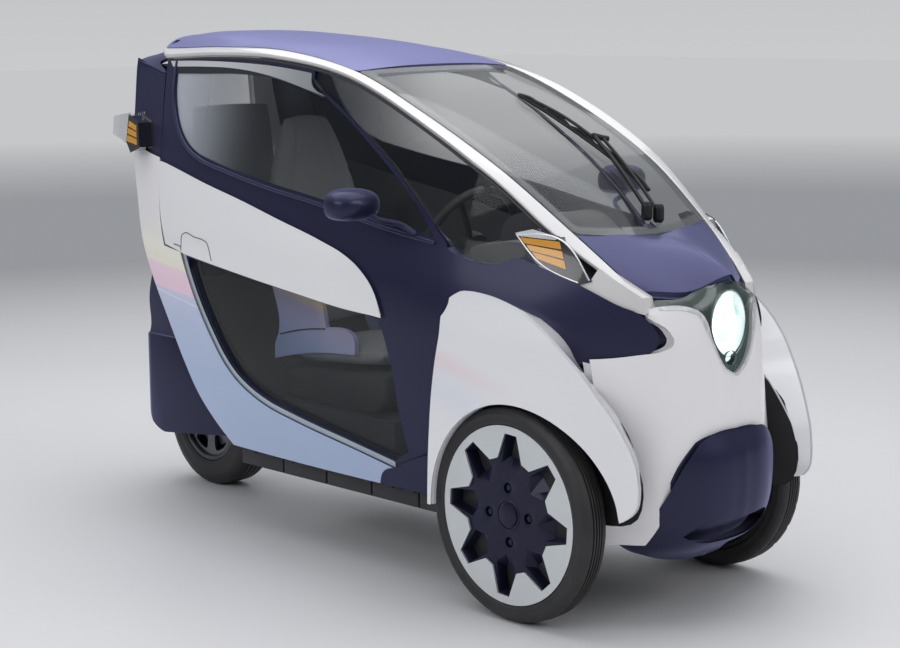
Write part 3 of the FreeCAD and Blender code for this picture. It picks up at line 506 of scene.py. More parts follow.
class Loop:
    """One closed edge of a panel: its points, the way into the material, edge radii and wall depths."""

    def __init__(self, runs, pitch, radius, depth, outer):
        points, radii, depths = [], [], []
        for run in runs:
            line, run_radius, run_depth = run if isinstance(run, tuple) else (run, radius, depth)
            sampled = smooth_run(line, pitch)[:-1]
            points.extend(sampled)
            radii.extend([run_radius] * len(sampled))
            depths.extend([run_depth(*point) if callable(run_depth) else run_depth for point in sampled])
        self.points = np.array(points)
        self.radii = np.array(radii, float)
        self.depths = np.array(depths, float)
        turned = self.points - np.roll(self.points, 1, axis=0)
        area = np.sum(turned[:, 0] * self.points[:, 1] - turned[:, 1] * self.points[:, 0])
        if (area > 0) != outer:
            self.points, self.radii, self.depths = self.points[::-1], self.radii[::-1], self.depths[::-1]
        for _ in range(edge_smoothing):
            for values in (self.radii, self.depths):
                values[:] = (np.roll(values, 1) + 2 * values + np.roll(values, -1)) / 4
        back = self.points - np.roll(self.points, 1, axis=0)
        forth = np.roll(self.points, -1, axis=0) - self.points
        back /= np.linalg.norm(back, axis=1)[:, None]
        forth /= np.linalg.norm(forth, axis=1)[:, None]
        left = np.stack([-(back + forth)[:, 1], (back + forth)[:, 0]], axis=1)
        left /= np.maximum(np.linalg.norm(left, axis=1), 1e-6)[:, None]
        stretch = 1 / np.maximum(np.abs(left[:, 0] * -back[:, 1] + left[:, 1] * back[:, 0]),
                                 sharpest_corner)
        self.inwards = left * stretch[:, None]

    def ring(self, inset):
        return self.points + self.inwards * np.asarray(inset)[:, None]


def filled(loops, pitch):
    """Points and triangles of a flat region between closed loops, with an even grid inside."""
    rim = np.concatenate(loops)
    low, high = rim.min(axis=0), rim.max(axis=0)
    xs = np.arange(low[0] + pitch / 2, high[0], pitch)
    ys = np.arange(low[1] + pitch / 2, high[1], pitch)
    grid = np.stack(np.meshgrid(xs, ys), axis=-1).reshape(-1, 2)
    keep = inside(grid, loops[0])
    for hole in loops[1:]:
        keep &= ~inside(grid, hole)
    grid = grid[keep]
    near = np.array([np.min(np.hypot(*(rim - point).T)) for point in grid]) if len(grid) else np.zeros(0)
    grid = grid[near > rim_clearance * pitch]
    points = np.concatenate([rim, grid])
    edges, start = [], 0
    for loop in loops:
        edges += [(start + i, start + (i + 1) % len(loop)) for i in range(len(loop))]
        start += len(loop)
    made = geometry.delaunay_2d_cdt([Vector(p) for p in points], edges, [], 0, 1e-6)
    source = [origin[0] if origin else -1 for origin in made[3]]
    triangles = np.array([[source[i] for i in face] for face in made[2] if len(face) == 3])
    triangles = triangles[(triangles >= 0).all(axis=1)]
    middle = points[triangles].mean(axis=1)
    keep = inside(middle, loops[0])
    for hole in loops[1:]:
        keep &= ~inside(middle, hole)
    return points, triangles[keep]


def panel(name, runs, surface, inward, thickness, pitch=14.0, radius=3.0, holes=(), skin=None, lean=None):
    """Closed panel over a surface(u, v): rounded edges, walls run back by inward, holes cut through.

    A run is a list of points, or (points, edge radius, wall depth) where its edge differs. With a skin
    thinner than the walls, the back is hollow. Lean moves the finished points."""
    skin = skin or thickness
    inward = np.array(inward, float)
    loops = [Loop(runs, pitch, radius, thickness, True)]
    loops += [Loop(hole, pitch, radius, thickness, False) for hole in holes]
    flat, triangles = filled([loop.ring(loop.radii) for loop in loops], pitch)

    def outer(points):
        here = surface(points[:, 0], points[:, 1])
        right = surface(points[:, 0] + 0.5, points[:, 1]) - surface(points[:, 0] - 0.5, points[:, 1])
        ahead_ = surface(points[:, 0], points[:, 1] + 0.5) - surface(points[:, 0], points[:, 1] - 0.5)
        normal = np.cross(right, ahead_)
        normal /= np.maximum(np.linalg.norm(normal, axis=1), 1e-9)[:, None]
        flip = np.where(normal @ inward > 0, -1.0, 1.0)
        return here, normal * flip[:, None]

    front, _ = outer(flat)
    verts = [front, front + inward * skin]
    count = len(flat)
    faces = [tuple(t) for t in triangles] + [tuple(t[::-1] + count) for t in triangles]
    total, start = 2 * count, 0
    for loop in loops:
        size = len(loop.points)
        rings = [np.arange(start, start + size)]
        for angle in (30, 60, 90):
            turn = math.radians(angle)
            here, normal = outer(loop.ring(loop.radii * (1 - math.sin(turn))))
            verts.append(here - normal * (loop.radii * (1 - math.cos(turn)))[:, None])
            rings.append(np.arange(total, total + size))
            total += size
        wall = np.maximum(loop.depths - loop.radii, 0.2)[:, None]
        verts.append(verts[-1] + inward * wall)
        rings.append(np.arange(total, total + size))
        total += size
        if np.any(loop.depths > skin + 0.5):
            here, _ = outer(loop.ring(np.maximum(loop.radii, 1.0)))
            verts.append(here + inward * np.maximum(loop.depths, skin + 0.3)[:, None])
            rings.append(np.arange(total, total + size))
            total += size
        rings.append(np.arange(start, start + size) + count)
        for a, b in zip(rings, rings[1:]):
            faces += [(a[i], a[(i + 1) % size], b[(i + 1) % size], b[i]) for i in range(size)]
        start += size
    bm = bmesh.new()
    edge = bm.verts.layers.float.new("edge")
    rim = np.concatenate([loop.points for loop in loops])
    from_rim = np.array([np.min(np.hypot(*(rim - point).T)) for point in flat])
    distance = np.concatenate([from_rim, from_rim, np.zeros(total - 2 * count)])
    places = np.concatenate(verts)
    if lean:
        places = lean(places)
    for place, reach in zip(to_metres(places), distance):
        bm.verts.new(place)[edge] = reach / 1000
    bm.verts.ensure_lookup_table()
    for face in faces:
        bm.faces.new([bm.verts[i] for i in face])
    return solid_mesh(name, bm)


TO_LEFT = (0, 1, 0)
TO_REAR = (-1, 0, 0)
DOWN = (0, 0, -1)

# Heights of the tints in metres, from the sill up, as (height, colour)
tint_heights = [(0.20, (0.40, 0.50, 0.72)), (0.45, (0.36, 0.46, 0.68)), (0.60, (0.42, 0.50, 0.70)),
                (0.668, (0.52, 0.56, 0.74)), (0.672, (0.80, 0.56, 0.70)), (0.735, (0.84, 0.62, 0.72)),
                (0.745, (0.82, 0.79, 0.66)), (0.800, (0.84, 0.82, 0.74)), (0.870, (0.80, 0.79, 0.80))]
tint_low, tint_high = 0.20, 0.87
tint_fall, tint_wander, tint_shift = 0.07, 0.02, 0.035
stripe_height, stripe_fall, stripe_width = 0.575, 0.14, 0.0016


def mica(finish):
    """Fine mica flake under a clear coat."""
    flake = finish.noise(2600.0, 1.0)
    finish.set("Roughness", 0.30 + flake * 0.12)
    finish.bump(flake, 0.00005, 0.25)


def pearl_white(name, base=(0.80, 0.785, 0.785)):
    """Pearl white over plastic: a clear coat on a fine mica flake, with a faint warm and cool drift."""
    finish = Finish(name, Coat_Weight=1.0, Coat_Roughness=0.06, Roughness=0.35)
    drift = finish.noise(2.2, 2.0)
    cool = tuple(c * k for c, k in zip(base, (0.985, 0.99, 1.01)))
    finish.colours(drift, base, cool)
    mica(finish)
    return finish.material


def tinted_pearl(name):
    """The same pearl with the tints laid on by height and a thin light pinstripe."""
    finish = Finish(name, Coat_Weight=1.0, Coat_Roughness=0.07, Roughness=0.35)
    x, _, z = finish.xyz()
    cloud = finish.noise(3.5, 3.0)
    height = z + x * tint_fall + (cloud - 0.5) * tint_wander + tint_shift
    share = (height - tint_low) / (tint_high - tint_low)
    stops = [((h - tint_low) / (tint_high - tint_low), colour) for h, colour in tint_heights]
    colour = finish.node("ShaderNodeValToRGB", {"stops": stops}, share)
    stripe = (z + x * stripe_fall).near(stripe_height, stripe_width, 0.0008)
    finish.colours(stripe * 0.6, colour, (0.85, 0.86, 0.90))
    mica(finish)
    return finish.material


def navy_flake(name, deep=(0.012, 0.013, 0.034), light=(0.027, 0.028, 0.068)):
    """Dark indigo metallic: fine flake under a clear coat, lavender where it faces the light."""
    finish = Finish(name, Coat_Weight=0.35, Coat_Roughness=0.2, Specular_Tint=(0.45, 0.47, 0.85, 1),
                    Sheen_Weight=0.5, Sheen_Roughness=0.35, Sheen_Tint=(0.50, 0.51, 0.85, 1))
    flake = finish.noise(3200.0, 1.0)
    drift = finish.noise(2.0, 2.0)
    finish.colours(flake * 0.7 + drift * 0.3, deep, light)
    finish.set("Metallic", 0.62 + flake * 0.2)
    finish.set("Roughness", 0.40 + flake * 0.1)
    finish.bump(flake, 0.00006, 0.3)
    return finish.material


side_band = tinted_pearl("tinted_pearl")
body_white = pearl_white("pearl_white")
body_navy = navy_flake("navy_flake")


def chained(*runs, closed=True):
    """Outline of runs that each start where the one before ends; closed leads back to the start."""
    outline, last, home = [], [], None
    for run in runs:
        points, *edge = run if isinstance(run, tuple) else (run,)
        points = [*last, *points]
        last = points[-1:]
        home = points[0] if home is None else home
        outline.append((points, *edge) if edge else points)
    if closed:
        points.append(home)
    return outline


door_gap = 8
shut_line = [(-473, 298), (-556, 314), (-657, 333), (-764, 351), (-874, 371), (-979, 393), (-1054, 420),
             (-1117, 455), (-1168, 502), (-1206, 553), (-1243, 609), (-1277, 670), (-1312, 743), (-1336, 794)]


def moved_line(points, distance):
    """Points of a side-view line moved square to it, to its left."""
    points = np.array(points, float)
    run = np.gradient(points, axis=0)
    run /= np.linalg.norm(run, axis=1)[:, None]
    return points + np.stack([-run[:, 1], run[:, 0]], axis=1) * distance


door_low_line = moved_line(shut_line, -door_gap / 2)
skirt_line = moved_line(shut_line, door_gap / 2)
skirt_rear = [(-1696, 1087), (-1640, 970), (-1590, 862), (-1501, 701), (-1430, 577), (-1375, 470),
              (-1325, 379), (-1266, 309), (-1199, 250)]
skirt_runs = chained(skirt_rear, [(-538, 250)], [(-520, 277), (-474, 293)], skirt_line[1:], [(-1434, 803)],
                     [(-1487, 921), (-1518, 1050)], [(-1599, 1063)])
skirt_mesh = panel("side_skirt", skirt_runs, body_side(6), TO_LEFT, 40, radius=5)
link_pair("side_skirts", skirt_mesh, side_band, "side_band", "side_skirts")
sill_end_runs = chained([(-534, 250), (-290, 250)], [(-284, 366)], [(-350, 346), (-470, 295)], [(-516, 277)])
sill_end_mesh = panel("sill_end", sill_end_runs, body_side(8), TO_LEFT, 40, radius=5)
link_pair("sill_ends", sill_end_mesh, body_navy, "body_navy")

# Doors: dark indigo mouldings with an upper and a lower window. The bonded glass sits in a rebate, a bead
# follows its rear and lower edge, and the pearl belt band is clipped on with the groove of the handle flap.
rail_stations = [(-1610, 1349, 1369, 238), (-1300, 1360, 1375, 256), (-1000, 1356, 1368, 264),
                 (-690, 1315, 1318, 276), (-430, 1223, 1223, 284), (-150, 1080, 1087, 272),
                 (60, 929, 946, 240), (170, 858, 861, 212), (250, 792, 790, 184)]
rail_lip = 14
split_line = [(-805, 1287), (-732, 1250), (-642, 1202), (-554, 1146), (-449, 1075), (-348, 994), (-249, 906)]
door_front_x = -229
door_edge = moved_line(split_line, -door_gap / 2)
window_inset = 3
bead_radius = 5.5
glass_thickness = 5


def column(table, k, x):
    """Column k of a table of stations, smoothly between them over the first column."""
    return along([(row[0], row[k]) for row in table], x)


def rail_low(x):
    """Height of the roof rail's lower outer edge."""
    return column(rail_stations, 1, x) - rail_lip


door_top = [(x, rail_low(x) - door_gap) for x in (-1545, -1400, -1250, -1050, -812)]
thin_edge = 9
door_runs = [
    (door_top, 3, thin_edge),
    ([door_top[-1], door_edge[0]], 2, thin_edge),
    (door_edge, 2, thin_edge),
    [door_edge[-1], (-236, 840), (door_front_x, 762)],
    [(door_front_x, 762), (-239, 660), (-250, 572), (-262, 450), (-270, 380)],
    [(-270, 380), door_low_line[0]],
    door_low_line,
    [door_low_line[-1], (-1424, 812)],
    [(-1424, 812), (-1478, 919), (-1508, 1030)],
    [(-1508, 1030), (-1530, 1180), door_top[0]],
]


def upper_window(inset, low_shift, rear_shift):
    """Runs of the upper window's outline, inset from the rail and from the split line."""
    top = [(x, rail_low(x) - door_gap - inset) for x in (-1480 - rear_shift, -1280, -1050, -840)]
    front = [*moved_line(split_line[1:-1], -door_gap / 2 - inset), (-288 + inset / 2, 914 - low_shift)]
    belt_line = [(-450, 938), (-713, 983), (-983, 1018), (-1161, 1046), (-1298, 1072)]
    belt = [(x, z - low_shift) for x, z in belt_line]
    corner = [(x - rear_shift, z - 0.7 * low_shift) for x, z in ((-1358, 1096), (-1416, 1140), (-1464, 1221))]
    return chained(top, [front[0]], front[1:], belt, corner)


glass_low_line = moved_line(shut_line[:-1], -door_gap / 2 - 14)
lower_window = chained(
    [(-452, 702), (-434, 633), (-420, 556), (-416, 464), (-406, 352)], [glass_low_line[0]],
    glass_low_line[1:], [(-1304, 788)], [(-1150, 773), (-882, 746), (-646, 722)])
band_runs = chained(
    ([(-1504, 1038), (-1413, 1022), (-1250, 990), (-1027, 949), (-877, 917), (-674, 871), (-595, 848),
      (-533, 819), (-480, 775), (-446, 709)], 9, 14),
    [(-569, 716), (-769, 738), (-945, 757), (-1150, 779), (-1300, 795)], [(-1418, 816)], [(-1474, 922)])
bevel_runs = [
    [*door_low_line, (-1342, 806)],
    [(-1342, 806), (-1318, 798)],
    [(-1318, 798), *glass_low_line[::-1]],
    [glass_low_line[0], door_low_line[0]],
]


def side_glass(name, tone, clearness, edge_band=None):
    """Tinted safety glass: dark, glossy, clearer where it is looked at straight on."""
    finish = Finish(name, tone, Roughness=0.03, IOR=1.5, Coat_Weight=0.6, Coat_Roughness=0.02)
    facing = finish.facing(0.35)
    haze = finish.noise(1.6, 2.0)
    alpha = (1 - clearness) + facing * 0.20 + haze * 0.04
    finish.set("Alpha", alpha if edge_band is None else alpha + edge_band(finish))
    finish.set("Roughness", 0.02 + haze * 0.03)
    finish.colours(haze, tone, tuple(c * 1.5 for c in tone))
    finish.material.surface_render_method = "BLENDED"
    return finish.material


def bridge(bm, rings, looped=False):
    """Faces between neighbouring rings of vertices; looped also joins the last ring to the first."""
    count = len(rings[0])
    for a, b in zip(rings, rings[1:] + rings[:1] if looped else rings[1:]):
        for k in range(count):
            bm.faces.new((a[k], a[(k + 1) % count], b[(k + 1) % count], b[k]))


def around(count):
    """Cosine and sine of even steps of a full turn."""
    return [(math.cos(2 * math.pi * k / count), math.sin(2 * math.pi * k / count)) for k in range(count)]


def swept(name, path, radius, sides=10, squash=1.0, taper=None, closed=False):
    """Round bar along points in millimetres, ends rounded off."""
    path = np.array(path, float)
    count = len(path)
    run = np.gradient(path, axis=0)
    if closed:
        run = np.roll(path, -1, axis=0) - np.roll(path, 1, axis=0)
    run /= np.linalg.norm(run, axis=1)[:, None]
    reference = np.array([0.0, 1.0, 0.0]) if abs(run[0, 1]) < 0.8 else np.array([0.0, 0.0, 1.0])
    bm = bmesh.new()
    rings = []
    stops = [(i, 1.0, 0.0) for i in range(count)]
    if not closed:
        cap = [(0.35, 0.94), (0.75, 0.66)]
        stops = ([(0, size_, -push) for push, size_ in reversed(cap)] + stops
                 + [(count - 1, size_, push) for push, size_ in cap])
    for i, size_, push in stops:
        side_ = np.cross(run[i], reference)
        side_ /= np.linalg.norm(side_)
        upward = np.cross(side_, run[i])
        reach = radius * size_ * (taper[i] if taper is not None else 1.0)
        rings.append([bm.verts.new(to_metres(path[i] + run[i] * push * radius
                                             + (side_ * c * reach + upward * s * reach * squash)))
                      for c, s in around(sides)])
    bridge(bm, rings, closed)
    if not closed:
        bm.faces.new(rings[0][::-1])
        bm.faces.new(rings[-1])
    return solid_mesh(name, bm)


def on_side(line, proud, pitch=14.0):
    """Side-view points carried onto the body side, proud of it."""
    sampled = smooth_run(line, pitch)
    return body_side(proud)(sampled[:, 0], sampled[:, 1])


window_hole = upper_window(window_inset, 0, 0)
door_mesh = panel("door", door_runs, body_side(0), TO_LEFT, 34, radius=4, pitch=13, skin=8,
                  holes=[[(run, 2, thin_edge) for run in window_hole],
                         [(run, 3, 22) for run in lower_window]])
trim_low_line = moved_line(shut_line[1:-1], -door_gap / 2 - 6)
trim_runs = chained(
    [(-1440, 1010), (-1200, 962), (-974, 920), (-759, 874), (-500, 835), (-290, 800)],
    [(-300, 600), (-312, 470), (-318, 392)], [(-420, 335), *trim_low_line], [(-1392, 812)])
trim_mesh = panel("door_trim", trim_runs, body_side(-26), TO_LEFT, 12, radius=4, pitch=20,
                  holes=[[(run, 2, 12) for run in lower_window]])
band_mesh = panel("door_band", band_runs, body_side(8), TO_LEFT, 11, radius=3, pitch=13)
pane_runs = upper_window(2, 10, 10)
upper_pane = panel("upper_pane", pane_runs, body_side(-1), TO_LEFT, glass_thickness, radius=1, pitch=16)
lower_pane = panel("lower_pane", lower_window, body_side(-14), TO_LEFT, glass_thickness, radius=1, pitch=16)
bead_line = [*pane_runs[3][:-1], *pane_runs[4]]
bead_mesh = swept("glass_bead", on_side(bead_line, 1, 10), bead_radius, sides=8)
flap_line = [(-1330, 803), (-1330, 822), (-1329, 846), (-1318, 852), (-1260, 846), (-1212, 841), (-1194, 836),
             (-1182, 822), (-1172, 802), (-1166, 788)]
flap_mesh = swept("flap_groove", on_side(flap_line, 8.3, 5), 1.3, sides=6)
groove_end = swept("groove_end", on_side([(-1330, 812), (-1352, 816), (-1370, 817)], 8.3, 5), 1.6, sides=6)
bevel_mesh = panel("lower_bevel", bevel_runs, body_side(1.5), TO_LEFT, 8, radius=1.5, pitch=12)

window_tint = side_glass("window_tint", (0.012, 0.018, 0.020), 0.90)
# Upper panes: tinted glass with a painted reflection; towards the rear they turn pale blue-grey and less
# clear, standing in for the bright studio reflected there.
upper_tint = Finish("upper_tint", Roughness=0.03, IOR=1.5, Coat_Weight=0.6, Coat_Roughness=0.02)
rear_painted_reflection = 1 - (upper_tint.xyz()[0] - axle_x).above(-1.24, 0.26)
upper_facing = upper_tint.facing(0.35)
upper_tint.colours(rear_painted_reflection, (0.03, 0.036, 0.040), (0.46, 0.49, 0.55))
upper_tint.set("Alpha", 0.10 + rear_painted_reflection * 0.62 + upper_facing * 0.18)
upper_tint.set("Roughness", 0.02 + upper_tint.noise(1.6) * 0.03)
upper_tint.material.surface_render_method = "BLENDED"
strip_runs = chained(
    [(-1526, 1331), (-1333, 1334), (-1144, 1331), (-982, 1324), (-820, 1309)], [(-818, 1288), (-748, 1251)],
    [(-843, 1271), (-973, 1296), (-1100, 1312), (-1212, 1319), (-1329, 1320), (-1508, 1317)], [])
frit_runs = [
    strip_runs[2][::-1],
    [strip_runs[2][0], (-762, 1248)],
    [(-762, 1248), (-887, 1279), (-1005, 1295), (-1155, 1302), (-1323, 1300), (-1502, 1297)],
    [(-1502, 1297), strip_runs[2][-1]],
]
strip_mesh = panel("drip_strip", strip_runs, body_side(2), TO_LEFT, 3, radius=1, pitch=14)
frit_mesh = panel("frit_band", frit_runs, body_side(1), TO_LEFT, 2, radius=0.6, pitch=14)
strip_silver = Finish("strip_silver", Coat_Weight=0.8, Coat_Roughness=0.08, Metallic=0.25)
strip_silver.colours((strip_silver.xyz()[0] - axle_x).above(-1.0, 0.35), (0.62, 0.64, 0.65),
                     (0.24, 0.26, 0.27))
strip_silver.set("Roughness", 0.25 + strip_silver.noise(18.0) * 0.15)
rubber_bead = grained_plastic("rubber_bead", (0.012, 0.012, 0.020), 700.0, 0.45)
trim_plastic = grained_plastic("trim_plastic", (0.05, 0.052, 0.056), 700.0, 0.6)
groove_black = grained_plastic("groove_black", (0.05, 0.05, 0.055), 900.0, 0.7)
band_white = pearl_white("band_pearl", (0.79, 0.785, 0.79))
bevel_paint = Finish("bevel_paint", Coat_Weight=1.0, Coat_Roughness=0.04, Metallic=0.3)
bevel_drift = bevel_paint.noise(3.0, 2.0)
bevel_paint.colours(bevel_drift, (0.30, 0.38, 0.44), (0.44, 0.50, 0.56))
bevel_paint.set("Roughness", 0.16 + bevel_drift * 0.1)


def link_sided(body_stem, pieces):
    """Right-hand pieces and their mirror images, each on the body of its own side."""
    for hand in ("right", "left"):
        for stem, mesh, material, slot, *stands in pieces:
            placed = mesh.copy() if hand == "right" else mirror_of(mesh, mesh.name + "_far")
            link_piece(stem + hand, placed, material, body_stem + hand, slot,
                       *[node + hand for node in stands])


link_sided("door_", [
    ("door_shell_", door_mesh, body_navy, "body_navy", "door_"),
    ("belt_band_", band_mesh, band_white, "body_white", "door_band_"),
    ("upper_pane_", upper_pane, upper_tint.material, "tinted_glass", "door_glass_"),
    ("lower_pane_", lower_pane, window_tint, "tinted_glass"),
    ("drip_strip_", strip_mesh, strip_silver.material, "frame_metal"),
    ("frit_band_", frit_mesh, rubber_bead, "frame_metal"),
    ("glass_bead_", bead_mesh, body_navy, "body_navy"),
    ("lower_bevel_", bevel_mesh, bevel_paint.material, "side_band"),
    ("door_trim_", trim_mesh, trim_plastic, "cabin_plastic"),
    ("flap_groove_", joined("grooves", [flap_mesh, groove_end]), groove_black, "body_white"),
])

# Door mirrors: a domed pod on a thin arm that rises from the belt line, its glass facing back.
pod_centre = np.array([-450.0, -496.0, 996.0])
pod_reach = np.array([52.0, 78.0, 43.0])
pod_back, pod_squareness = 0.62, 2.7
glass_margin, glass_step, glass_sunk = 0.006, 0.002, 0.003


def oval(centre, across, upwards, count):
    """Closed run around an ellipse."""
    return [(centre[0] + across * math.cos(a), centre[1] + upwards * math.sin(a))
            for a in np.linspace(0, 2 * math.pi, count)]


def flat_end(x):
    """Upright plane across the car, over the front view's y and z."""
    return lambda y, z: np.stack([np.full_like(y, x), y, z], axis=-1)


def mirror_pod():
    """Pod with a rounded front, a flattened lower edge and a flat back around the glass."""
    bm = bmesh.new()
    rings = []
    turns, slices = 40, 18
    for i in range(slices + 1):
        share = -pod_back + (1 + pod_back) * i / slices
        reach = (1 - abs(share) ** 2.6) ** (1 / 2.2) if share > 0 else 1 - 0.06 * (abs(share) / pod_back) ** 2
        ring = []
        for across_, upwards in around(turns):
            square = ((abs(across_) ** pod_squareness + abs(upwards) ** pod_squareness)
                      ** (-1 / pod_squareness))
            reach_here = max(reach, 0.02) * square
            offset = np.array([share, across_ * reach_here, upwards * reach_here * (1 - 0.10 * share)])
            ring.append(bm.verts.new(to_metres(pod_centre + offset * pod_reach * (0.96, 0.93, 0.93))))
        rings.append(ring)
    bridge(bm, rings)
    bm.faces.new(rings[-1])
    back = bm.faces.new(rings[0][::-1])
    bmesh.ops.inset_region(bm, faces=[back], thickness=glass_margin, depth=0.0)
    bmesh.ops.inset_region(bm, faces=[back], thickness=glass_step, depth=-glass_sunk)
    return solid_mesh("mirror_pod", bm)


arm_foot = np.array([-352.0, -float(side_half_width(-352, 925)) - 1, 922.0])
arm_path = [arm_foot, arm_foot + (-30, -14, 19), (-412, -462, 966), (-424, -474, 980)]
arm_line = smooth_run(arm_path, 8)
arm_mesh = swept("mirror_arm", arm_line, 8, sides=10, taper=np.linspace(0.75, 1.0, len(arm_line)))
glass_mesh = panel("mirror_glass", [oval((-496, 996), 60, 32, 25)], flat_end(-478), (1, 0, 0), 2, pitch=12,
                   radius=0.5)
mirror_shell = joined("mirror_shell", [mirror_pod(), arm_mesh])
silvered = Finish("silvered_glass", (0.75, 0.77, 0.78), Metallic=1.0)
silvered.set("Roughness", 0.03 + silvered.noise(3.0) * 0.05)
link_sided("door_", [
    ("mirror_shell_", mirror_shell, body_navy, "body_navy", "mirror_"),
    ("mirror_glass_", glass_mesh, silvered.material, "clear_glass"),
])

# Quarter glass, side cowl and front indicator ahead of each door. The glass is bonded under the roof rail,
# the cowl is painted and laps over the fender's inner edge, and the indicator is a wedge in the rail's fork.
quarter_edge = moved_line(split_line, door_gap / 2)
quarter_top = [(x, rail_low(x) - 3) for x in (-796, -690, -550, -400, -250, -100, 30)]
quarter_runs = chained(quarter_top, [(-30, 905), (-42, 882)],
                       [(-90, 864), (-150, 864), (-214, 882), quarter_edge[-1]], quarter_edge[-2::-1], [])
cowl_runs = chained(
    [(-241, 896), (-212, 878), (-150, 860), (-90, 860), (-44, 878)], [(12, 864)],
    [(130, 820), (205, 780), (236, 762)], ([(264, 736), (281, 703), (262, 668)], 14, 30),
    [(216, 653), (167, 647), (40, 640)], [(-221, 640)], [(-221, 762), (-228, 840)])
lamp_corners = [(-52, 940), (-8, 952), (60, 936), (148, 838), (122, 830), (14, 874)]
bar_shares = [(0.06, 0.28), (0.38, 0.60), (0.70, 0.94)]


def polygon_runs(points):
    return [[points[i], points[(i + 1) % len(points)]] for i in range(len(points))]


def between(a, b, share):
    return (a[0] + (b[0] - a[0]) * share, a[1] + (b[1] - a[1]) * share)


def lens_bars(name, rear, front, proud, depth, easing):
    """Three bars across a lamp between its rear and front edges, each edge from top to bottom."""
    bars = []
    for low, high in bar_shares:
        corners = [between(*rear, low), between(*front, low), between(*front, high), between(*rear, high)]
        bars.append(panel(name, polygon_runs(corners), body_side(proud), TO_LEFT, depth, radius=easing,
                          pitch=6))
    return joined(name, bars)


quarter_mesh = panel("quarter_glass", quarter_runs, body_side(-4), TO_LEFT, glass_thickness, radius=1,
                     pitch=14)
link_pair("quarter_glasses", quarter_mesh, side_glass("quarter_tint", (0.020, 0.024, 0.026), 0.91),
          "tinted_glass", "quarter_glasses")
cowl_mesh = panel("side_cowl", cowl_runs, body_side(16), TO_LEFT, 42, radius=5, pitch=12)
link_pair("side_cowls", cowl_mesh, body_navy, "body_navy", "side_cowls")

lamp_body = panel("indicator_body", polygon_runs(lamp_corners), body_side(14), TO_LEFT, 44, radius=2.5,
                  pitch=8)
lamp_top = panel("indicator_top", polygon_runs([(-50, 941), (-8, 951), (60, 936), (52, 931), (-38, 936)]),
                 body_side(16), TO_LEFT, 30, radius=1.5, pitch=8)
amber_bars = lens_bars("amber_bars", ((-40, 934), (16, 882)), ((60, 929), (88, 860)), 15.5, 6, 1.2)
frame_line = [(-48, 937), (60, 933), (144, 840), (120, 833), (14, 878), (-48, 937)]
lamp_frame = swept("indicator_frame", on_side(frame_line[:3], 14.6, 6), 2.2, sides=8)
lamp_frame_low = swept("indicator_frame_low", on_side(frame_line[3:], 14.6, 6), 1.8, sides=8)

lamp_dark = Finish("lamp_dark", (0.012, 0.012, 0.015), Coat_Weight=1.0, Coat_Roughness=0.03)
lamp_dark.set("Roughness", 0.12 + lamp_dark.noise(40.0) * 0.1)
lamp_silver = Finish("lamp_silver", (0.62, 0.64, 0.66), Metallic=0.8)
lamp_silver.set("Roughness", 0.22 + lamp_silver.noise(30.0, 3.0) * 0.12)
lamp_amber = Finish("lamp_amber", Coat_Weight=1.0, Coat_Roughness=0.04)
amber_ribs = lamp_amber.node("ShaderNodeTexWave", {"bands_direction": "X"}, Scale=60.0)
lamp_amber.colours(amber_ribs, (0.42, 0.14, 0.004), (0.86, 0.42, 0.02))
lamp_amber.set("Roughness", 0.18 + amber_ribs * 0.1)
link_pair("indicator_bodies", lamp_body, lamp_dark.material, "lamp_inside", "front_indicators")
link_pair("indicator_tops", joined("tops", [lamp_top, lamp_frame, lamp_frame_low]), lamp_silver.material,
          "lamp_lens")
link_pair("indicator_bars", amber_bars, lamp_amber.material, "amber_lens")

# Roof rails: one pearl-white arched moulding on each side, from the tail to the pointed tip by the headlamp,
# screwed to the roof frame, with a fork around the indicator and a black seal below.
rail_depth = 16
rail_proud = 6
rail_easing = 5.0
tail_cut_x, tail_cut_y, tail_cut_slope = -1622, 236, 0.64


def rail_ring(x, shrink=0.0):
    """Section of the right-hand rail at x, with eased corners, as points around it."""
    z_out, z_in, y_in = (float(column(rail_stations, k, x)) for k in (1, 2, 3))
    y_full = float(side_half_width(x, z_out)) + rail_proud
    y_out = min(y_full, tail_cut_y + (x - tail_cut_x) * tail_cut_slope)
    z_out = z_in + (z_out - z_in) * (y_out - y_in) / (y_full - y_in)
    corners = np.array([(-y_out, z_out), (-y_in, z_in), (-y_in, z_in - rail_depth),
                        (-y_out + 8, z_out - rail_lip)])
    middle = corners.mean(axis=0)
    corners = middle + (corners - middle) * (1 - shrink)
    ring = []
    for k in range(4):
        here = corners[k]
        for other in (corners[k - 1], corners[(k + 1) % 4]):
            away = other - here
            ring.append((here, here + away / np.linalg.norm(away)
                         * min(rail_easing, 0.4 * np.linalg.norm(away))))
    points = []
    for k in range(4):
        corner, first = ring[2 * k]
        last = ring[2 * k + 1][1]
        for t in (0.0, 0.33, 0.67, 1.0):
            points.append((1 - t) ** 2 * first + 2 * t * (1 - t) * corner + t * t * last)
    return [(x, y, z) for y, z in points]


def loft(name, rings):
    """Closed solid through rings of points in millimetres."""
    bm = bmesh.new()
    made = [[bm.verts.new(v) for v in to_metres(ring)] for ring in rings]
    bridge(bm, made)
    bm.faces.new(made[0][::-1])
    bm.faces.new(made[-1])
    return solid_mesh(name, bm, 30)


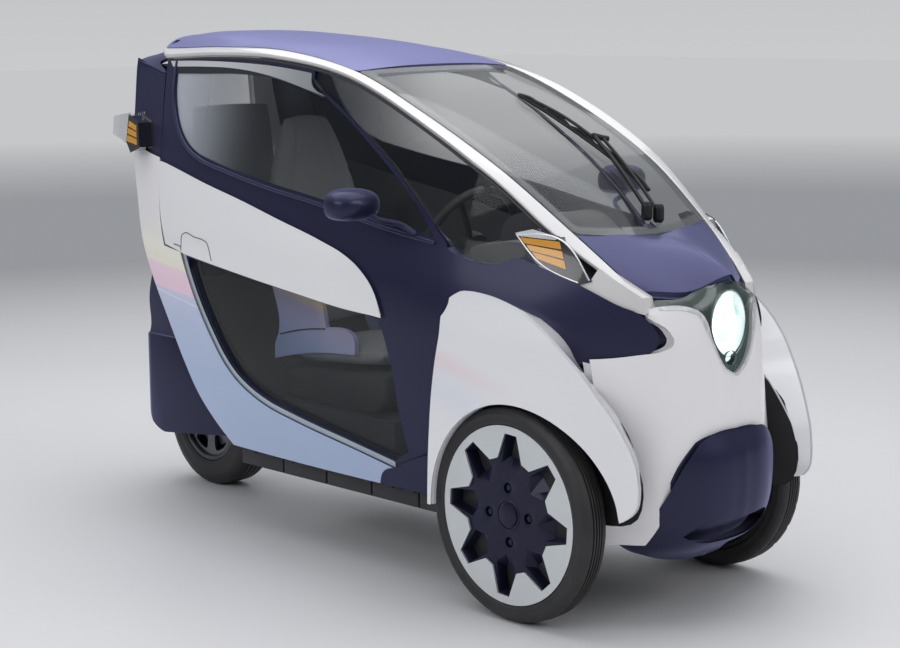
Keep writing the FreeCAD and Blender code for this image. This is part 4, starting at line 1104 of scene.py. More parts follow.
rail_xs = [-1608, -1605, *np.linspace(-1600, 240, 144), 247, 250]
rail_rings = [rail_ring(x, 0.07 if i in (0, len(rail_xs) - 1) else 0.0) for i, x in enumerate(rail_xs)]
fork_corners = [(14, 874), (122, 830), (148, 838), (160, 862), (252, 800), (262, 764), (225, 776), (130, 824),
                (20, 868)]
fork_mesh = panel("rail_fork", polygon_runs(fork_corners), body_side(10), TO_LEFT, 34, radius=3, pitch=9)
rail_mesh = joined("roof_rail", [loft("rail", rail_rings), fork_mesh])
# The rail's pearl is painted darker than the body's: painted shade that holds back its brightly lit top face.
painted_shade_rail = pearl_white("rail_pearl", (0.62, 0.61, 0.60))
link_pair("roof_rails", rail_mesh, painted_shade_rail, "body_white", "roof_rails")
seal_line = [(x, rail_low(x) - 3.5) for x in np.linspace(-1548, 40, 30)]
seal_mesh = swept("rail_seal", on_side(seal_line, -3, 14), 4.5, sides=8)
link_pair("rail_seals", seal_mesh, rubber_bead, "frame_metal")

# Roof panel, windscreen and bonnet between the rails: a painted roof, a laminated screen with a printed grey
# border, and a dished bonnet whose front edge rises over the headlamp.
roof_height = 1422
roof_stations = [(-1600, -1640, roof_height - 16, 4.0), (-1500, -1515, roof_height - 6, 3.8),
                 (-1300, -1300, roof_height - 10, 3.4), (-1000, -990, roof_height - 36, 3.0),
                 (-690, -655, roof_height - 92, 2.4)]
screen_stations = [(-682, -647, roof_height - 98, 2.4), (-490, -450, 1254, 2.2), (-303, -258, 1163, 2.2),
                   (-126, -78, 1061, 2.2), (66, 116, 927, 2.2)]
share_scale = 250.0


def crowned(stations):
    """Surface between the rails over (edge x, share of the half width times share_scale)."""
    def surface(edge_x, spread_y):
        half = column(rail_stations, 3, edge_x) - 3
        edge_z = column(rail_stations, 2, edge_x)
        share = spread_y / share_scale
        rise = 1 - np.minimum(np.abs(share), 1.0) ** column(stations, 3, edge_x)
        middle_x, middle_z = column(stations, 1, edge_x), column(stations, 2, edge_x)
        return np.stack([edge_x + (middle_x - edge_x) * rise, share * half,
                         edge_z + (middle_z - edge_z) * rise], axis=-1)
    return surface


def crowned_runs(rear_x, front_x, easing):
    """Rectangle in that domain with eased corners."""
    w = share_scale - 0.5
    return polygon_runs([(rear_x + easing, -w), (front_x - easing, -w), (front_x, -w + easing),
                         (front_x, w - easing), (front_x - easing, w), (rear_x + easing, w),
                         (rear_x, w - easing), (rear_x, -w + easing)])


roof_mesh = panel("roof_panel", crowned_runs(-1599, -691, 6), crowned(roof_stations), DOWN, 24, radius=6,
                  pitch=15)
# The roof's navy is painted far lighter than the body's: a painted reflection of the overhead lamp on the
# up-facing panel.
roof_painted_reflection_navy = navy_flake("roof_flake", (0.14, 0.143, 0.28), (0.21, 0.215, 0.40))
link_piece("roof_panel", roof_mesh, roof_painted_reflection_navy, "body", "body_navy", "roof_panel")
screen_mesh = panel("windscreen", crowned_runs(-681, 65, 8), crowned(screen_stations), DOWN, 6, radius=1,
                    pitch=13)


def printed_border(finish):
    """Printed border, 24 mm wide: the glass is less clear there, fading out over a soft step."""
    rim = finish.node("ShaderNodeAttribute", {"attribute_name": "edge"}, output="Fac")
    return (1 - rim.above(0.024, 0.004)) * 0.42


screen_glass = side_glass("screen_glass", (0.045, 0.052, 0.054), 0.93, printed_border)
link_piece("windscreen", screen_mesh, screen_glass, "body", "clear_glass", "windscreen")

bonnet_rows = [((72, 234, 936), (108, 112, 931), (122, 0, 922)),
               ((160, 212, 868), (205, 100, 873), (235, 0, 896)),
               ((226, 189, 811), (298, 90, 811), (350, 0, 848))]


def quadratic(a, b, c, t):
    """Curve through three points at t = 0, 0.5 and 1."""
    return a * (1 - t) * (1 - 2 * t) + 4 * b * t * (1 - t) + c * t * (2 * t - 1)


def bonnet_surface(down, across_):
    """Bonnet over (0 at the screen to 200 at the front, -200 to 200 across)."""
    v = np.clip(down / 200.0, -0.05, 1.05)
    s = np.clip(across_ / 200.0, -1.05, 1.05)
    out = []
    for axis in range(3):
        rows = []
        for edge_, notch, middle in bonnet_rows:
            sign = np.sign(s) if axis == 1 else 1.0
            side_value = along([(0.0, middle[axis]), (0.5, notch[axis]), (1.0, edge_[axis])], np.abs(s))
            rows.append(side_value * sign)
        out.append(quadratic(rows[0], rows[1], rows[2], v))
    return np.stack(out, axis=-1)


bonnet_runs = polygon_runs([(2, -198), (198, -198), (198, 198), (2, 198)])
bonnet_mesh = panel("bonnet", bonnet_runs, bonnet_surface, DOWN, 16, radius=4, pitch=9)
# The bonnet's navy is painted lighter than the body's: painted light on the up-facing panel.
bonnet_painted_light_navy = navy_flake("bonnet_flake", (0.042, 0.043, 0.10), (0.07, 0.072, 0.16))
link_piece("bonnet", bonnet_mesh, bonnet_painted_light_navy, "body", "body_navy", "bonnet")

# Nose, lower bumper and headlamp: a pearl nose moulding wraps the lamp, the dark bumper is clipped in below
# with its cooling slot, and a clear lens is bonded over a dark bezel with the projector and the small lamp.
nose_profile = [(150, 300), (250, 352), (330, 368), (450, 374), (600, 370), (700, 366), (800, 352),
                (860, 334)]
nose_plan = [(0, 0), (60, 6), (110, 24), (160, 62), (200, 118), (240, 174), (290, 262)]
nose_spread = [(150, 1.34), (300, 1.32), (500, 1.19), (770, 1.0), (815, 0.66), (860, 0.55)]
bumper_spread = [(150, 1.06), (300, 1.10), (500, 1.12)]
bumper_profile = [(150, 268), (200, 348), (254, 388), (330, 402), (416, 400), (490, 382)]


def bow(profile, proud):
    """Front surface as a function of the front view's y and z."""
    def surface(y, z):
        spread_ = along(bumper_spread if profile is bumper_profile else nose_spread, z)
        drop = along(nose_plan, np.abs(y) / spread_)
        return np.stack([along(profile, z) + proud - drop, y, z], axis=-1)
    return surface


def mirrored_front(half_runs):
    """Runs of a whole front-view outline from the runs of its left half, top middle to bottom middle."""
    back = [[(-y, z) for y, z in run[::-1]] for run in half_runs[::-1]]
    return half_runs + back


nose_half = chained(
    [(0, 604), (22, 614), (80, 704)], [(104, 764), (128, 775), (172, 773)], [(192, 766)],
    [(188, 755), (167, 733), (155, 704)], [(160, 686), (182, 671), (216, 662), (250, 655), (284, 650)],
    [(284, 216)], [(213, 212)], [(187, 311), (151, 405), (119, 447)], [(93, 460), (60, 464), (0, 465)],
    closed=False)
nose_mesh = panel("nose_panel", mirrored_front(nose_half), bow(nose_profile, 0), TO_REAR, 24, radius=5,
                  pitch=11)
link_piece("nose_panel", nose_mesh, pearl_white("nose_pearl"), "body", "body_white", "nose_panel")

bumper_half = chained(
    [(0, 464), (60, 463), (92, 459), (118, 446)], [(150, 404), (186, 310), (212, 214)],
    [(190, 196), (0, 157)], closed=False)
slot_runs = [
    [(-158, 226), (-128, 262), (0, 268), (128, 262), (158, 226)],
    [(158, 226), (120, 206), (0, 192), (-120, 206), (-158, 226)],
]
bumper_mesh = panel("front_bumper", mirrored_front(bumper_half), bow(bumper_profile, 4), TO_REAR, 46,
                    radius=14, pitch=11, skin=14, holes=[[(run, 7, 40) for run in slot_runs]])
slot_back = panel("slot_back", [[(y * 1.06, z + (z - 230) * 0.1) for y, z in run] for run in slot_runs],
                  bow(bumper_profile, -34), TO_REAR, 4, radius=1, pitch=14)
link_piece("front_bumper", joined("front_bumper", [bumper_mesh, slot_back]), body_navy, "body", "body_navy",
           "front_bumper")

lamp_half = chained(
    [(0, 829), (70, 814), (112, 795), (171, 791)], [(171, 772)], [(126, 769), (102, 757)],
    [(79, 704), (22, 616), (0, 606)], closed=False)
lens_mesh = panel("headlamp_lens", mirrored_front(lamp_half), bow(nose_profile, 6), TO_REAR, 6, radius=2,
                  pitch=9)
lens_glass = Finish("lens_clear", (0.06, 0.10, 0.09), Roughness=0.02, IOR=1.5)
lens_facing = lens_glass.facing(0.3)
lens_glass.set("Alpha", 0.06 + lens_facing * 0.25)
lens_glass.set("Roughness", 0.01 + lens_glass.noise(2.0) * 0.03)
lens_glass.material.surface_render_method = "BLENDED"
link_piece("headlamp_lens", lens_mesh, lens_glass.material, "body", "lamp_lens", "headlamp_lens")


def scaled_runs(runs, share, centre):
    return [[(centre[0] + (y - centre[0]) * share, centre[1] + (z - centre[1]) * share) for y, z in run]
            for run in runs]


bezel_runs = scaled_runs(mirrored_front(lamp_half), 0.985, (0, 745))
bezel_mesh = panel("lamp_bezel", bezel_runs, bow(nose_profile, -12), TO_REAR, 6, radius=1, pitch=9,
                   holes=[[oval((0, 728), 63, 80, 33)], [oval((0, 645), 22, 18, 21)]])
bezel_dark = Finish("bezel_dark", Coat_Weight=0.8, Coat_Roughness=0.05)
bezel_shade = bezel_dark.noise(6.0, 2.0)
bezel_dark.colours(bezel_shade, (0.010, 0.020, 0.018), (0.05, 0.085, 0.075))
bezel_dark.set("Roughness", 0.16 + bezel_shade * 0.15)
link_piece("lamp_bezel", bezel_mesh, bezel_dark.material, "body", "lamp_inside")


def lathe_x(name, profile, centre, sides, tall=1.0):
    """Round or tall oval solid about a line along X, from (x, radius) points."""
    rings = []
    for x, radius in profile:
        rings.append([(centre[0] + x, centre[1] + radius * c, centre[2] + radius * tall * s)
                      for c, s in around(sides)])
    return loft(name, rings)


lamp_place, low_lamp_place = (262, 0, 728), (262, 0, 652)
lamp_tall = 1.28
projector = joined("projector", [
    lathe_x("projector_glass", [(0, 40), (20, 58), (44, 60), (62, 54), (76, 38), (82, 12)], lamp_place, 10,
            lamp_tall),
    lathe_x("low_glass", [(0, 14), (20, 22), (66, 24), (80, 17), (86, 5)], low_lamp_place, 20)])
projector_lit = Finish("projector_lit", (0.9, 0.95, 0.95), Roughness=0.1, Emission_Strength=1.7)
glow = projector_lit.noise(30.0, 2.0)
projector_lit.set("Emission Color",
                  projector_lit.mix(glow.above(0.5, 0.1), (0.38, 0.62, 0.58), (0.95, 1.0, 0.98)))
link_piece("projector", projector, projector_lit.material, "body", "lamp_lens", "headlamp_housing")
shroud = joined("shroud", [
    lathe_x("shroud_ring", [(0, 50), (46, 60), (84, 64), (84, 61), (30, 54), (0, 46)], lamp_place, 40,
            lamp_tall),
    lathe_x("low_shroud", [(0, 22), (44, 25), (50, 26), (50, 25), (8, 24.5), (0, 20.5)], low_lamp_place, 28)])
link_piece("lamp_shrouds", shroud, lamp_silver.material, "body", "lamp_inside")

# Front fenders: a thick-lipped pearl shell over each front wheel, bolted to the nose frame, with a black
# liner inside the arch. A faint pink and blue tint runs along the line above the arch.
fender_half_width = 425
fender_inner_y = 290
arch_centre, arch_radius = (30, 262), 285
fender_section = [(240, 1.0), (420, 1.0), (560, 1.0), (680, 0.985), (790, 0.94)]
fender_plan = [(-290, 1.0), (-100, 1.0), (60, 0.985), (160, 0.945), (250, 0.875), (330, 0.79), (380, 0.745)]


def fender_half(x, z):
    """How far the fender's outer surface stands from the car's middle."""
    return fender_half_width * along(fender_section, z) * along(fender_plan, x)


def fender_side(x, z):
    """Right-hand fender surface over the side view's x and z."""
    return np.stack([x, -fender_half(x, z), z], axis=-1)


def flat_side(y):
    """Upright plane along the car, over the side view's x and z."""
    return lambda x, z: np.stack([x, np.full_like(x, y), z], axis=-1)


def arc_points(centre, radius, start, end, count):
    """Points of a side-view arc between two angles in degrees."""
    return [(centre[0] + radius * math.cos(math.radians(a)), centre[1] + radius * math.sin(math.radians(a)))
            for a in np.linspace(start, end, count)]


arch_run = arc_points(arch_centre, arch_radius, 7.5, 181.2, 24)
lip_start, lip_run, lip_slope, lip_flat = 60, 200, 0.95, 12
tyre_keep_out, tyre_middle = 284.0, 267
fall_start, fall_run, top_fall, fall_flat = 540, 150, 0.42, 10


def to_inner_wall(x, z):
    """How far the fender's inner wall lies below its outer surface."""
    return float(fender_half(x, z)) - fender_inner_y - 4


def sloped_front(places):
    """The lip's front face slopes back toward the nose, clear of the tyre, and its top falls inwards."""
    x, y, z = places.T
    depth = fender_half(x, z) + y
    share = np.clip((x - lip_start) / lip_run, 0, 1)
    moved = x - lip_slope * share * share * (3 - 2 * share) * np.clip(depth - lip_flat, 0, 90)
    keep_out = np.sqrt(np.maximum(tyre_keep_out ** 2 - (z - tyre_middle) ** 2, 0))
    moved = np.where((x > lip_start) & (moved < keep_out), np.minimum(x, keep_out), moved)
    sink = top_fall * np.clip(depth - fall_flat, 0, 110) * np.clip((z - fall_start) / fall_run, 0, 1)
    return np.stack([moved, y, z - sink], axis=-1)


fender_runs = [
    ([(-262, 256), (-256, 400), (-238, 572), (-214, 712)], 3, to_inner_wall),
    ([(-214, 712), (-198, 762), (-160, 780)], 14, to_inner_wall),
    ([(-160, 780), (-73, 775), (40, 748)], 20, to_inner_wall),
    ([(40, 748), (135, 688), (228, 600)], 20, to_inner_wall),
    ([(228, 600), (291, 512), (334, 424)], 16, to_inner_wall),
    ([(334, 424), (345, 376)], 12, to_inner_wall),
    ([(345, 376), (341, 330), arch_run[0]], 7, to_inner_wall),
    (arch_run, 3, 26),
    ([arch_run[-1], (-262, 256)], 2, 26),
]
inner_runs = [(run[0], 6, 10) for run in fender_runs[:-2]] + [(arch_run, 2, 10), (fender_runs[-1][0], 2, 10)]
fender_mesh = joined("front_fender", [
    panel("fender_shell", fender_runs, fender_side, TO_LEFT, 12, pitch=11, skin=9, lean=sloped_front),
    panel("fender_inner", inner_runs, flat_side(-fender_inner_y), (0, -1, 0), 10, pitch=16,
          lean=sloped_front)])
fender_pearl = Finish("fender_pearl", Coat_Weight=1.0, Coat_Roughness=0.07)
fender_x, _, fender_z = fender_pearl.xyz()
fender_cloud = fender_pearl.noise(5.0, 2.0)
glow_line = fender_z + (fender_x - axle_x) * 0.22 + (fender_cloud - 0.5) * 0.03
pink_share, blue_share = glow_line.near(0.575, 0.020, 0.022), glow_line.near(0.510, 0.040, 0.040)
rear_share = 1 - (fender_x - axle_x).above(-0.04, 0.14)
fender_base = fender_pearl.mix(pink_share * rear_share * 0.55, (0.78, 0.78, 0.80), (0.80, 0.60, 0.66))
fender_pearl.colours(blue_share * rear_share * 0.4, fender_base, (0.60, 0.66, 0.78))
mica(fender_pearl)
link_pair("front_fenders", fender_mesh, fender_pearl.material, "body_white", "front_fenders")

liner_outline = [(-226, 262), (-226, 560), (-200, 650), (-150, 692), (-73, 694), (32, 672), (122, 620),
                 (215, 552), (280, 500), (322, 412), (334, 376), (322, 300), (200, 262)]
liner_wall = panel("liner_wall", [liner_outline, [liner_outline[-1], liner_outline[0]]],
                   flat_side(-fender_inner_y - 2.0), TO_LEFT, 3, radius=1, pitch=30)
tunnel = []
for x, z in arc_points(arch_centre, arch_radius + 1.5, 14, 172, 40):
    y_out = float(fender_half(x, z)) - 14
    away = np.array([x - arch_centre[0], z - arch_centre[1]]) / (arch_radius + 1.5)
    tunnel.append([(x + away[0] * lift, y, z + away[1] * lift) for y, lift in
                   ((-y_out, 0), (-y_out * 0.66 - fender_inner_y * 0.34, 1), (-fender_inner_y - 4, 0),
                    (-fender_inner_y - 4, 4), (-y_out, 4))])
link_pair("arch_liners", joined("liner", [liner_wall, loft("tunnel", tunnel)]),
          grained_plastic("liner_plastic", (0.012, 0.012, 0.013), 300.0, 0.8), "floor_plastic")

# Front wheels: a 16 inch tyre on a dark painted rim. The face has eight deep windows with facets that slope
# to the hub, four sunk wheel nuts and a bare centre cap, under a light plate cut to a zigzag around them.
track = 368
front_radius, front_width, rim_radius = 267, 80, 221
nut_circle, nut_turn = 67, 2
face_y = track + 32
window_count, first_window = 8, -4.0
pocket_depth = 36
tread_edge, groove_spread, groove_depth = 21, 0.72, 4.0
slit_spacing, slit_shift, slit_depth = 9, 3, 2.6


def turned(name, profile, centre, sides, close=True):
    """Solid of revolution about a line along Y, from (radius, y) points; closed as a ring."""
    bm = bmesh.new()
    rings = []
    for radius, y in profile:
        rings.append([bm.verts.new(to_metres((centre[0] + radius * c, centre[1] + y, centre[2] + radius * s)))
                      for c, s in around(sides)])
    bridge(bm, rings, close)
    if not close:
        bm.faces.new(rings[0])
        bm.faces.new(rings[-1][::-1])
    return solid_mesh(name, bm, 35)


def tyre_mesh(name, outer, inner, width, centre, groove_count, sides):
    """Tyre with rounded shoulders, rim guard, fine wall rings, tread grooves and short shoulder slits."""
    half = width / 2
    wall_run = outer - inner
    wall = [(inner, -half + 7), (inner + 2, -half + 3), (inner + 0.16 * wall_run, -half + 1.0),
            (inner + 0.20 * wall_run, -half + 0.2), (inner + 0.24 * wall_run, -half + 1.0),
            (inner + 0.40 * wall_run, -half), (inner + 0.55 * wall_run, -half + 0.5),
            (inner + 0.58 * wall_run, -half + 0.1), (inner + 0.61 * wall_run, -half + 0.9),
            (outer - 0.28 * wall_run, -half + 2.6), (outer - 0.18 * wall_run, -half + 6),
            (outer - 0.09 * wall_run, -half + 11), (outer - 0.04 * wall_run, -half + 16)]
    tread = []
    reach = half - tread_edge
    grooves = np.linspace(-reach * groove_spread, reach * groove_spread, groove_count)
    for y in sorted([-reach, reach, *[g + d for g in grooves for d in (-2.2, -1.4, 1.4, 2.2)]]):
        deep = any(abs(y - g) < 1.5 for g in grooves)
        tread.append((outer - 0.6 - 1.2 * (y / reach) ** 2 - (groove_depth if deep else 0.0), y))
    profile = wall + tread + [(r, -y) for r, y in wall[::-1]]
    bm = bmesh.new()
    rings = []
    slit_rows = {len(wall) - 2, len(wall) - 1, len(wall) + len(tread), len(wall) + len(tread) + 1}
    for row, (radius, y) in enumerate(profile):
        ring = []
        for k, (c, s) in enumerate(around(sides)):
            slit = row in slit_rows and (k + (row > len(wall) + 2) * slit_shift) % slit_spacing < 1
            deep = radius - (slit_depth if slit else 0.0)
            ring.append(bm.verts.new(to_metres((centre[0] + deep * c, centre[1] + y, centre[2] + deep * s))))
        rings.append(ring)
    bridge(bm, rings, True)
    return solid_mesh(name, bm, 32)


def polar(radius, angle, y, centre=(0, front_radius)):
    turn = math.radians(angle)
    return (centre[0] + radius * math.cos(turn), y, centre[1] + radius * math.sin(turn))


def wall_faces(count):
    """Quads between one ring of points and the next one in the same list."""
    return [(i, (i + 1) % count, (i + 1) % count + count, i + count) for i in range(count)]


def wheel_face():
    """Dark face: flat star with eight pockets whose hub sides slope, and four nut wells."""
    outer_ring = [polar(208, 3.75 * k, -face_y) for k in range(96)]
    loops = [np.array([(x, z) for x, _, z in outer_ring])]
    pockets, wells = [], []
    for k in range(window_count):
        middle = first_window + 45 * k
        top = [polar(r, middle + a, -face_y)
               for r, a in ((98, 0), (128, 15.0), (200, 5.5), (200, -5.5), (128, -15.0))]
        low = [polar(r, middle + a, -face_y + pocket_depth)
               for r, a in ((146, 9.6), (194, 4.9), (194, -4.9), (146, -9.6))]
        pockets.append((top, low))
        loops.append(np.array([(x, z) for x, _, z in top])[::-1])
    for k in range(4):
        centre = polar(nut_circle, 90 * k + nut_turn, 0)
        well = [(centre[0] + 13.5 * math.cos(a), -face_y, centre[2] + 13.5 * math.sin(a))
                for a in np.linspace(0, 2 * math.pi, 20, endpoint=False)]
        wells.append(well)
        loops.append(np.array([(x, z) for x, _, z in well])[::-1])
    flat, triangles = filled(loops, 26)
    verts = [(x, -face_y, z) for x, z in flat]
    faces = [tuple(t) for t in triangles]

    def add(points, *rows):
        start = len(verts)
        verts.extend(points)
        faces.extend(tuple(start + i for i in row) for row in rows)

    for top, low in pockets:
        add(top + low, (0, 1, 5), (0, 5, 8), (0, 8, 4), (1, 2, 6, 5), (4, 8, 7, 3), (2, 3, 7, 6))
    for well in wells:
        count = len(well)
        add(well + [(x, -face_y + 13, z) for x, _, z in well], *wall_faces(count),
            tuple(range(count, 2 * count)))
    add(outer_ring + [(x, -face_y + 3, z) for x, _, z in outer_ring], *wall_faces(len(outer_ring)))
    bm = bmesh.new()
    made = [bm.verts.new(v) for v in to_metres(verts)]
    for face in faces:
        bm.faces.new([made[i] for i in face])
    bmesh.ops.remove_doubles(bm, verts=bm.verts, dist=2e-5)
    bmesh.ops.recalc_face_normals(bm, faces=bm.faces)
    outward = sum((face.normal.y for face in bm.faces if abs(face.normal.y) > 0.99), 0.0)
    if outward > 0:
        bmesh.ops.reverse_faces(bm, faces=bm.faces)
    creases = [edge for edge in bm.edges if edge.is_manifold and edge.calc_face_angle(0) > math.radians(22)]
    bmesh.ops.bevel(bm, geom=creases, offset=0.0011, segments=2, affect="EDGES", profile=0.5,
                    clamp_overlap=True)
    return finished("wheel_face", bm, 24)


def hex_nut(centre, y, reach, height):
    rings = []
    for size_, drop in ((0.86, 0.0), (1.0, 1.4), (1.0, height)):
        rings.append([(centre[0] + reach * size_ * math.cos(math.radians(60 * k + 15)), y + drop,
                       centre[2] + reach * size_ * math.sin(math.radians(60 * k + 15))) for k in range(6)])
    return loft("wheel_nut", rings)


star_corners = []
for k in range(window_count):
    for angle, radius in ((-17.0, 143), (-5.8, 203), (5.8, 203), (17.0, 143)):
        corner = polar(radius, first_window + 45 * k + angle, 0)
        star_corners.append((corner[0], corner[2]))
plate_mesh = panel("wheel_plate", [oval((0, front_radius), 219.6, 219.6, 97)], flat_side(-face_y - 5.8),
                   TO_LEFT, 5.6, radius=0.9, pitch=12, holes=[polygon_runs(star_corners)])
wheel_centre = (0, -track, front_radius)
barrel_mesh = turned("rim_barrel", [(208.5, -29), (212, -31.5), (220.6, -32), (220.6, 33), (216, 35),
                                    (209, 33), (205, 20), (203, -8), (206, -26)], wheel_centre, 96)
back_disc = turned("rim_back", [(206, 6), (150, 8), (92, 10), (50, 14), (50, 30), (15.3, 30), (15.3, 20),
                                (40, 4), (92, -2), (150, -3), (206, 0)], wheel_centre, 48)
cap_mesh = turned("centre_cap", [(0.5, -38.2), (24, -37.8), (29, -36.2), (31, -33), (31, -30), (0.5, -30)],
                  wheel_centre, 40, close=False)
cap_ring = turned("cap_ring", [(33, -32), (34.5, -34.2), (37.5, -34.2), (39, -32)], wheel_centre, 48)
nuts = [hex_nut(polar(nut_circle, 90 * k + nut_turn, 0), -face_y + 3.5, 8.6, 9) for k in range(4)]
face_mesh = joined("wheel_face", [wheel_face(), cap_mesh, cap_ring, *nuts])
inner_mesh = joined("rim_inner", [barrel_mesh, back_disc])
front_tyre = tyre_mesh("front_tyre", front_radius, rim_radius, front_width, wheel_centre, 4, 216)


def tyre_rubber(name, grey=(0.014, 0.014, 0.015)):
    """Black rubber: even satin wall with faint mould rings, duller dusty tread."""
    finish = Finish(name)
    dust = finish.noise(7.0, 4.0)
    fine = finish.noise(600.0, 2.0)
    finish.colours(dust.above(0.6, 0.15) * 0.6, grey, (0.034, 0.033, 0.032))
    finish.set("Roughness", 0.42 + fine * 0.12 + dust * 0.12)
    finish.bump(fine, 0.0003, 0.4)
    return finish.material


def plate_lacquer(name):
    """Light pearl-silver lacquer with a fine brushed grain and a clear coat."""
    finish = Finish(name, Metallic=0.35, Coat_Weight=0.7, Coat_Roughness=0.08)
    grain = finish.noise(1500.0, 1.0)
    drift = finish.noise(4.0, 2.0)
    finish.colours(drift, (0.56, 0.59, 0.60), (0.63, 0.66, 0.67))
    finish.set("Roughness", 0.34 + grain * 0.12)
    finish.bump(grain, 0.00005, 0.3)
    return finish.material


tyre_black = tyre_rubber("tyre_rubber")
wheel_dark = navy_flake("wheel_dark", (0.006, 0.006, 0.018), (0.014, 0.014, 0.036))
wheel_light = plate_lacquer("wheel_light")
link_sided("front_wheel_", [
    ("tyre_front_", front_tyre, tyre_black, "tyre", "front_tyre_"),
    ("face_", face_mesh, wheel_dark, "wheel_dark", "front_rim_"),
    ("rim_inner_", inner_mesh, chassis_black, "wheel_dark"),
    ("plate_", plate_mesh, wheel_light, "wheel_plate", "front_wheel_plate_"),
])


# Rear wheel, its fork and the fender that turns with it. The wheel is a wide 10 inch one around a hub motor,
# the fender a thick dark moulding bolted over the fork's crown, with two holes for a blank plate behind.
rear_centre = (-1700, 0, 215)
rear_radius, rear_rim_radius, rear_width = 215, 137, 120


def softened(name, easing, *node_names, crease=32, segments=3):
    """Copy of solids with their hard edges eased."""
    bm = bmesh.new()
    for node_name in node_names:
        bm.from_mesh(nodes[node_name].data)
    bmesh.ops.remove_doubles(bm, verts=bm.verts, dist=1e-5)
    bmesh.ops.dissolve_limit(bm, angle_limit=math.radians(1.5), verts=bm.verts, edges=bm.edges)
    hard = [edge for edge in bm.edges if edge.is_manifold and edge.calc_face_angle(0) > math.radians(crease)]
    bmesh.ops.bevel(bm, geom=hard, offset=easing / 1000, segments=segments, affect="EDGES", profile=0.5,
                    clamp_overlap=True)
    bmesh.ops.triangulate(bm, faces=[face for face in bm.faces if len(face.verts) > 4])
    return finished(name, bm, crease)


rear_tyre = tyre_mesh("rear_tyre", rear_radius, rear_rim_radius, rear_width, rear_centre, 4, 180)
link_piece("tyre_rear", rear_tyre, tyre_black, "rear_wheel", "tyre", "rear_tyre")
hub_point = (rear_centre[0], rear_centre[2])
dish_holes = []
for k in range(6):
    rim_points = [polar(r, 60 * k + a, 0, hub_point) for r, a in
                  ((62, -14), (84, -19), (108, -18), (112, 0), (108, 18), (84, 19), (62, 14), (56, 0))]
    flat_points = [(x, z) for x, _, z in rim_points]
    dish_holes.append([[*flat_points, flat_points[0]]])
dish_mesh = panel("rear_dish", [oval(hub_point, 124, 124, 61)], flat_side(-44.0), TO_LEFT, 12, radius=2,
                  pitch=12, holes=dish_holes)
rear_barrel = turned("rear_barrel", [(122, -50), (126, -55), (133, -57), (136.6, -55), (136.6, 55), (133, 57),
                                     (126, 55), (122, 50), (118, 30), (118, -30)], rear_centre, 72)
hub_drum = turned("hub_drum", [(12.1, -47), (30, -48), (44, -44), (48, -34), (92, -26), (96, -20), (96, 20),
                               (92, 26), (48, 34), (44, 44), (30, 48), (12.1, 47)], rear_centre, 64)
rim_grey = Finish("rim_grey", Metallic=0.85)
rim_grain = rim_grey.noise(900.0, 2.0)
rim_dirt = rim_grey.noise(10.0, 4.0)
rim_grey.colours(rim_dirt, (0.10, 0.105, 0.12), (0.16, 0.165, 0.18))
rim_grey.set("Roughness", 0.28 + rim_grain * 0.15)
rim_grey.bump(rim_grain, 0.0001, 0.3)
rim_mesh = joined("rim_rear", [dish_mesh, mirror_of(dish_mesh, "dish_far"), rear_barrel, hub_drum])
link_piece("rim_rear", rim_mesh, rim_grey.material, "rear_wheel", "wheel_dark", "rear_rim")
link_piece("fender_rear", softened("fender_rear", 7, "rear_fender"), navy_flake("fender_navy"), "rear_steer",
           "body_navy", "rear_fender")
axle_nuts = [hex_nut(rear_centre, -99, 13, 7)]
axle_nuts.append(mirror_of(axle_nuts[0], "axle_nut_far"))
link_piece("axle_nuts", joined("axle_nuts", axle_nuts), rim_grey.material, "rear_steer", "frame_metal")
bracket_corners = [(-1786, 176), (-1742, 196), (-1728, 236), (-1744, 262), (-1770, 240), (-1800, 214)]
bracket_mesh = panel("stay_bracket", polygon_runs(bracket_corners), flat_side(-106.0), TO_LEFT, 8,
                     radius=1.5, pitch=12)
link_piece("stay_brackets", both_sides("stay_brackets", bracket_mesh), chassis_black, "rear_steer",
           "frame_metal")

# Tail: dark quarters behind the doors, the closed block over the steered wheel, the back panel with its
# bonded window, and on each side a dark lamp with three amber bars and a clear winglet behind it.
tail_profile = [(480, -1788), (620, -1757), (700, -1738), (800, -1716), (950, -1730), (1100, -1748),
                (1250, -1746), (1400, -1726)]
tail_plan = [(0, 0), (100, 3), (200, 16), (262, 40), (318, 92)]


def tail_surface(proud):
    """Rear surface over the back view's y and z."""
    return lambda y, z: np.stack([along(tail_profile, z) + along(tail_plan, np.abs(y)) - proud, y, z],
                                 axis=-1)


crown_low = [(-1724, 1330), (-1640, 1315), (-1556, 1297)]
crown_high = [(-1740, 1348), (-1669, 1366), (-1590, 1372), (-1556, 1372)]


def tail_crown(x, y):
    """Arched top between the two quarters, over the plan view's x and y."""
    low, high = along(crown_low, x), along(crown_high, x)
    share = np.clip(np.abs(y) / side_half_width(x, low), 0, 1)
    return np.stack([x, y, low + (high - low) * (1 - share ** 5)], axis=-1)


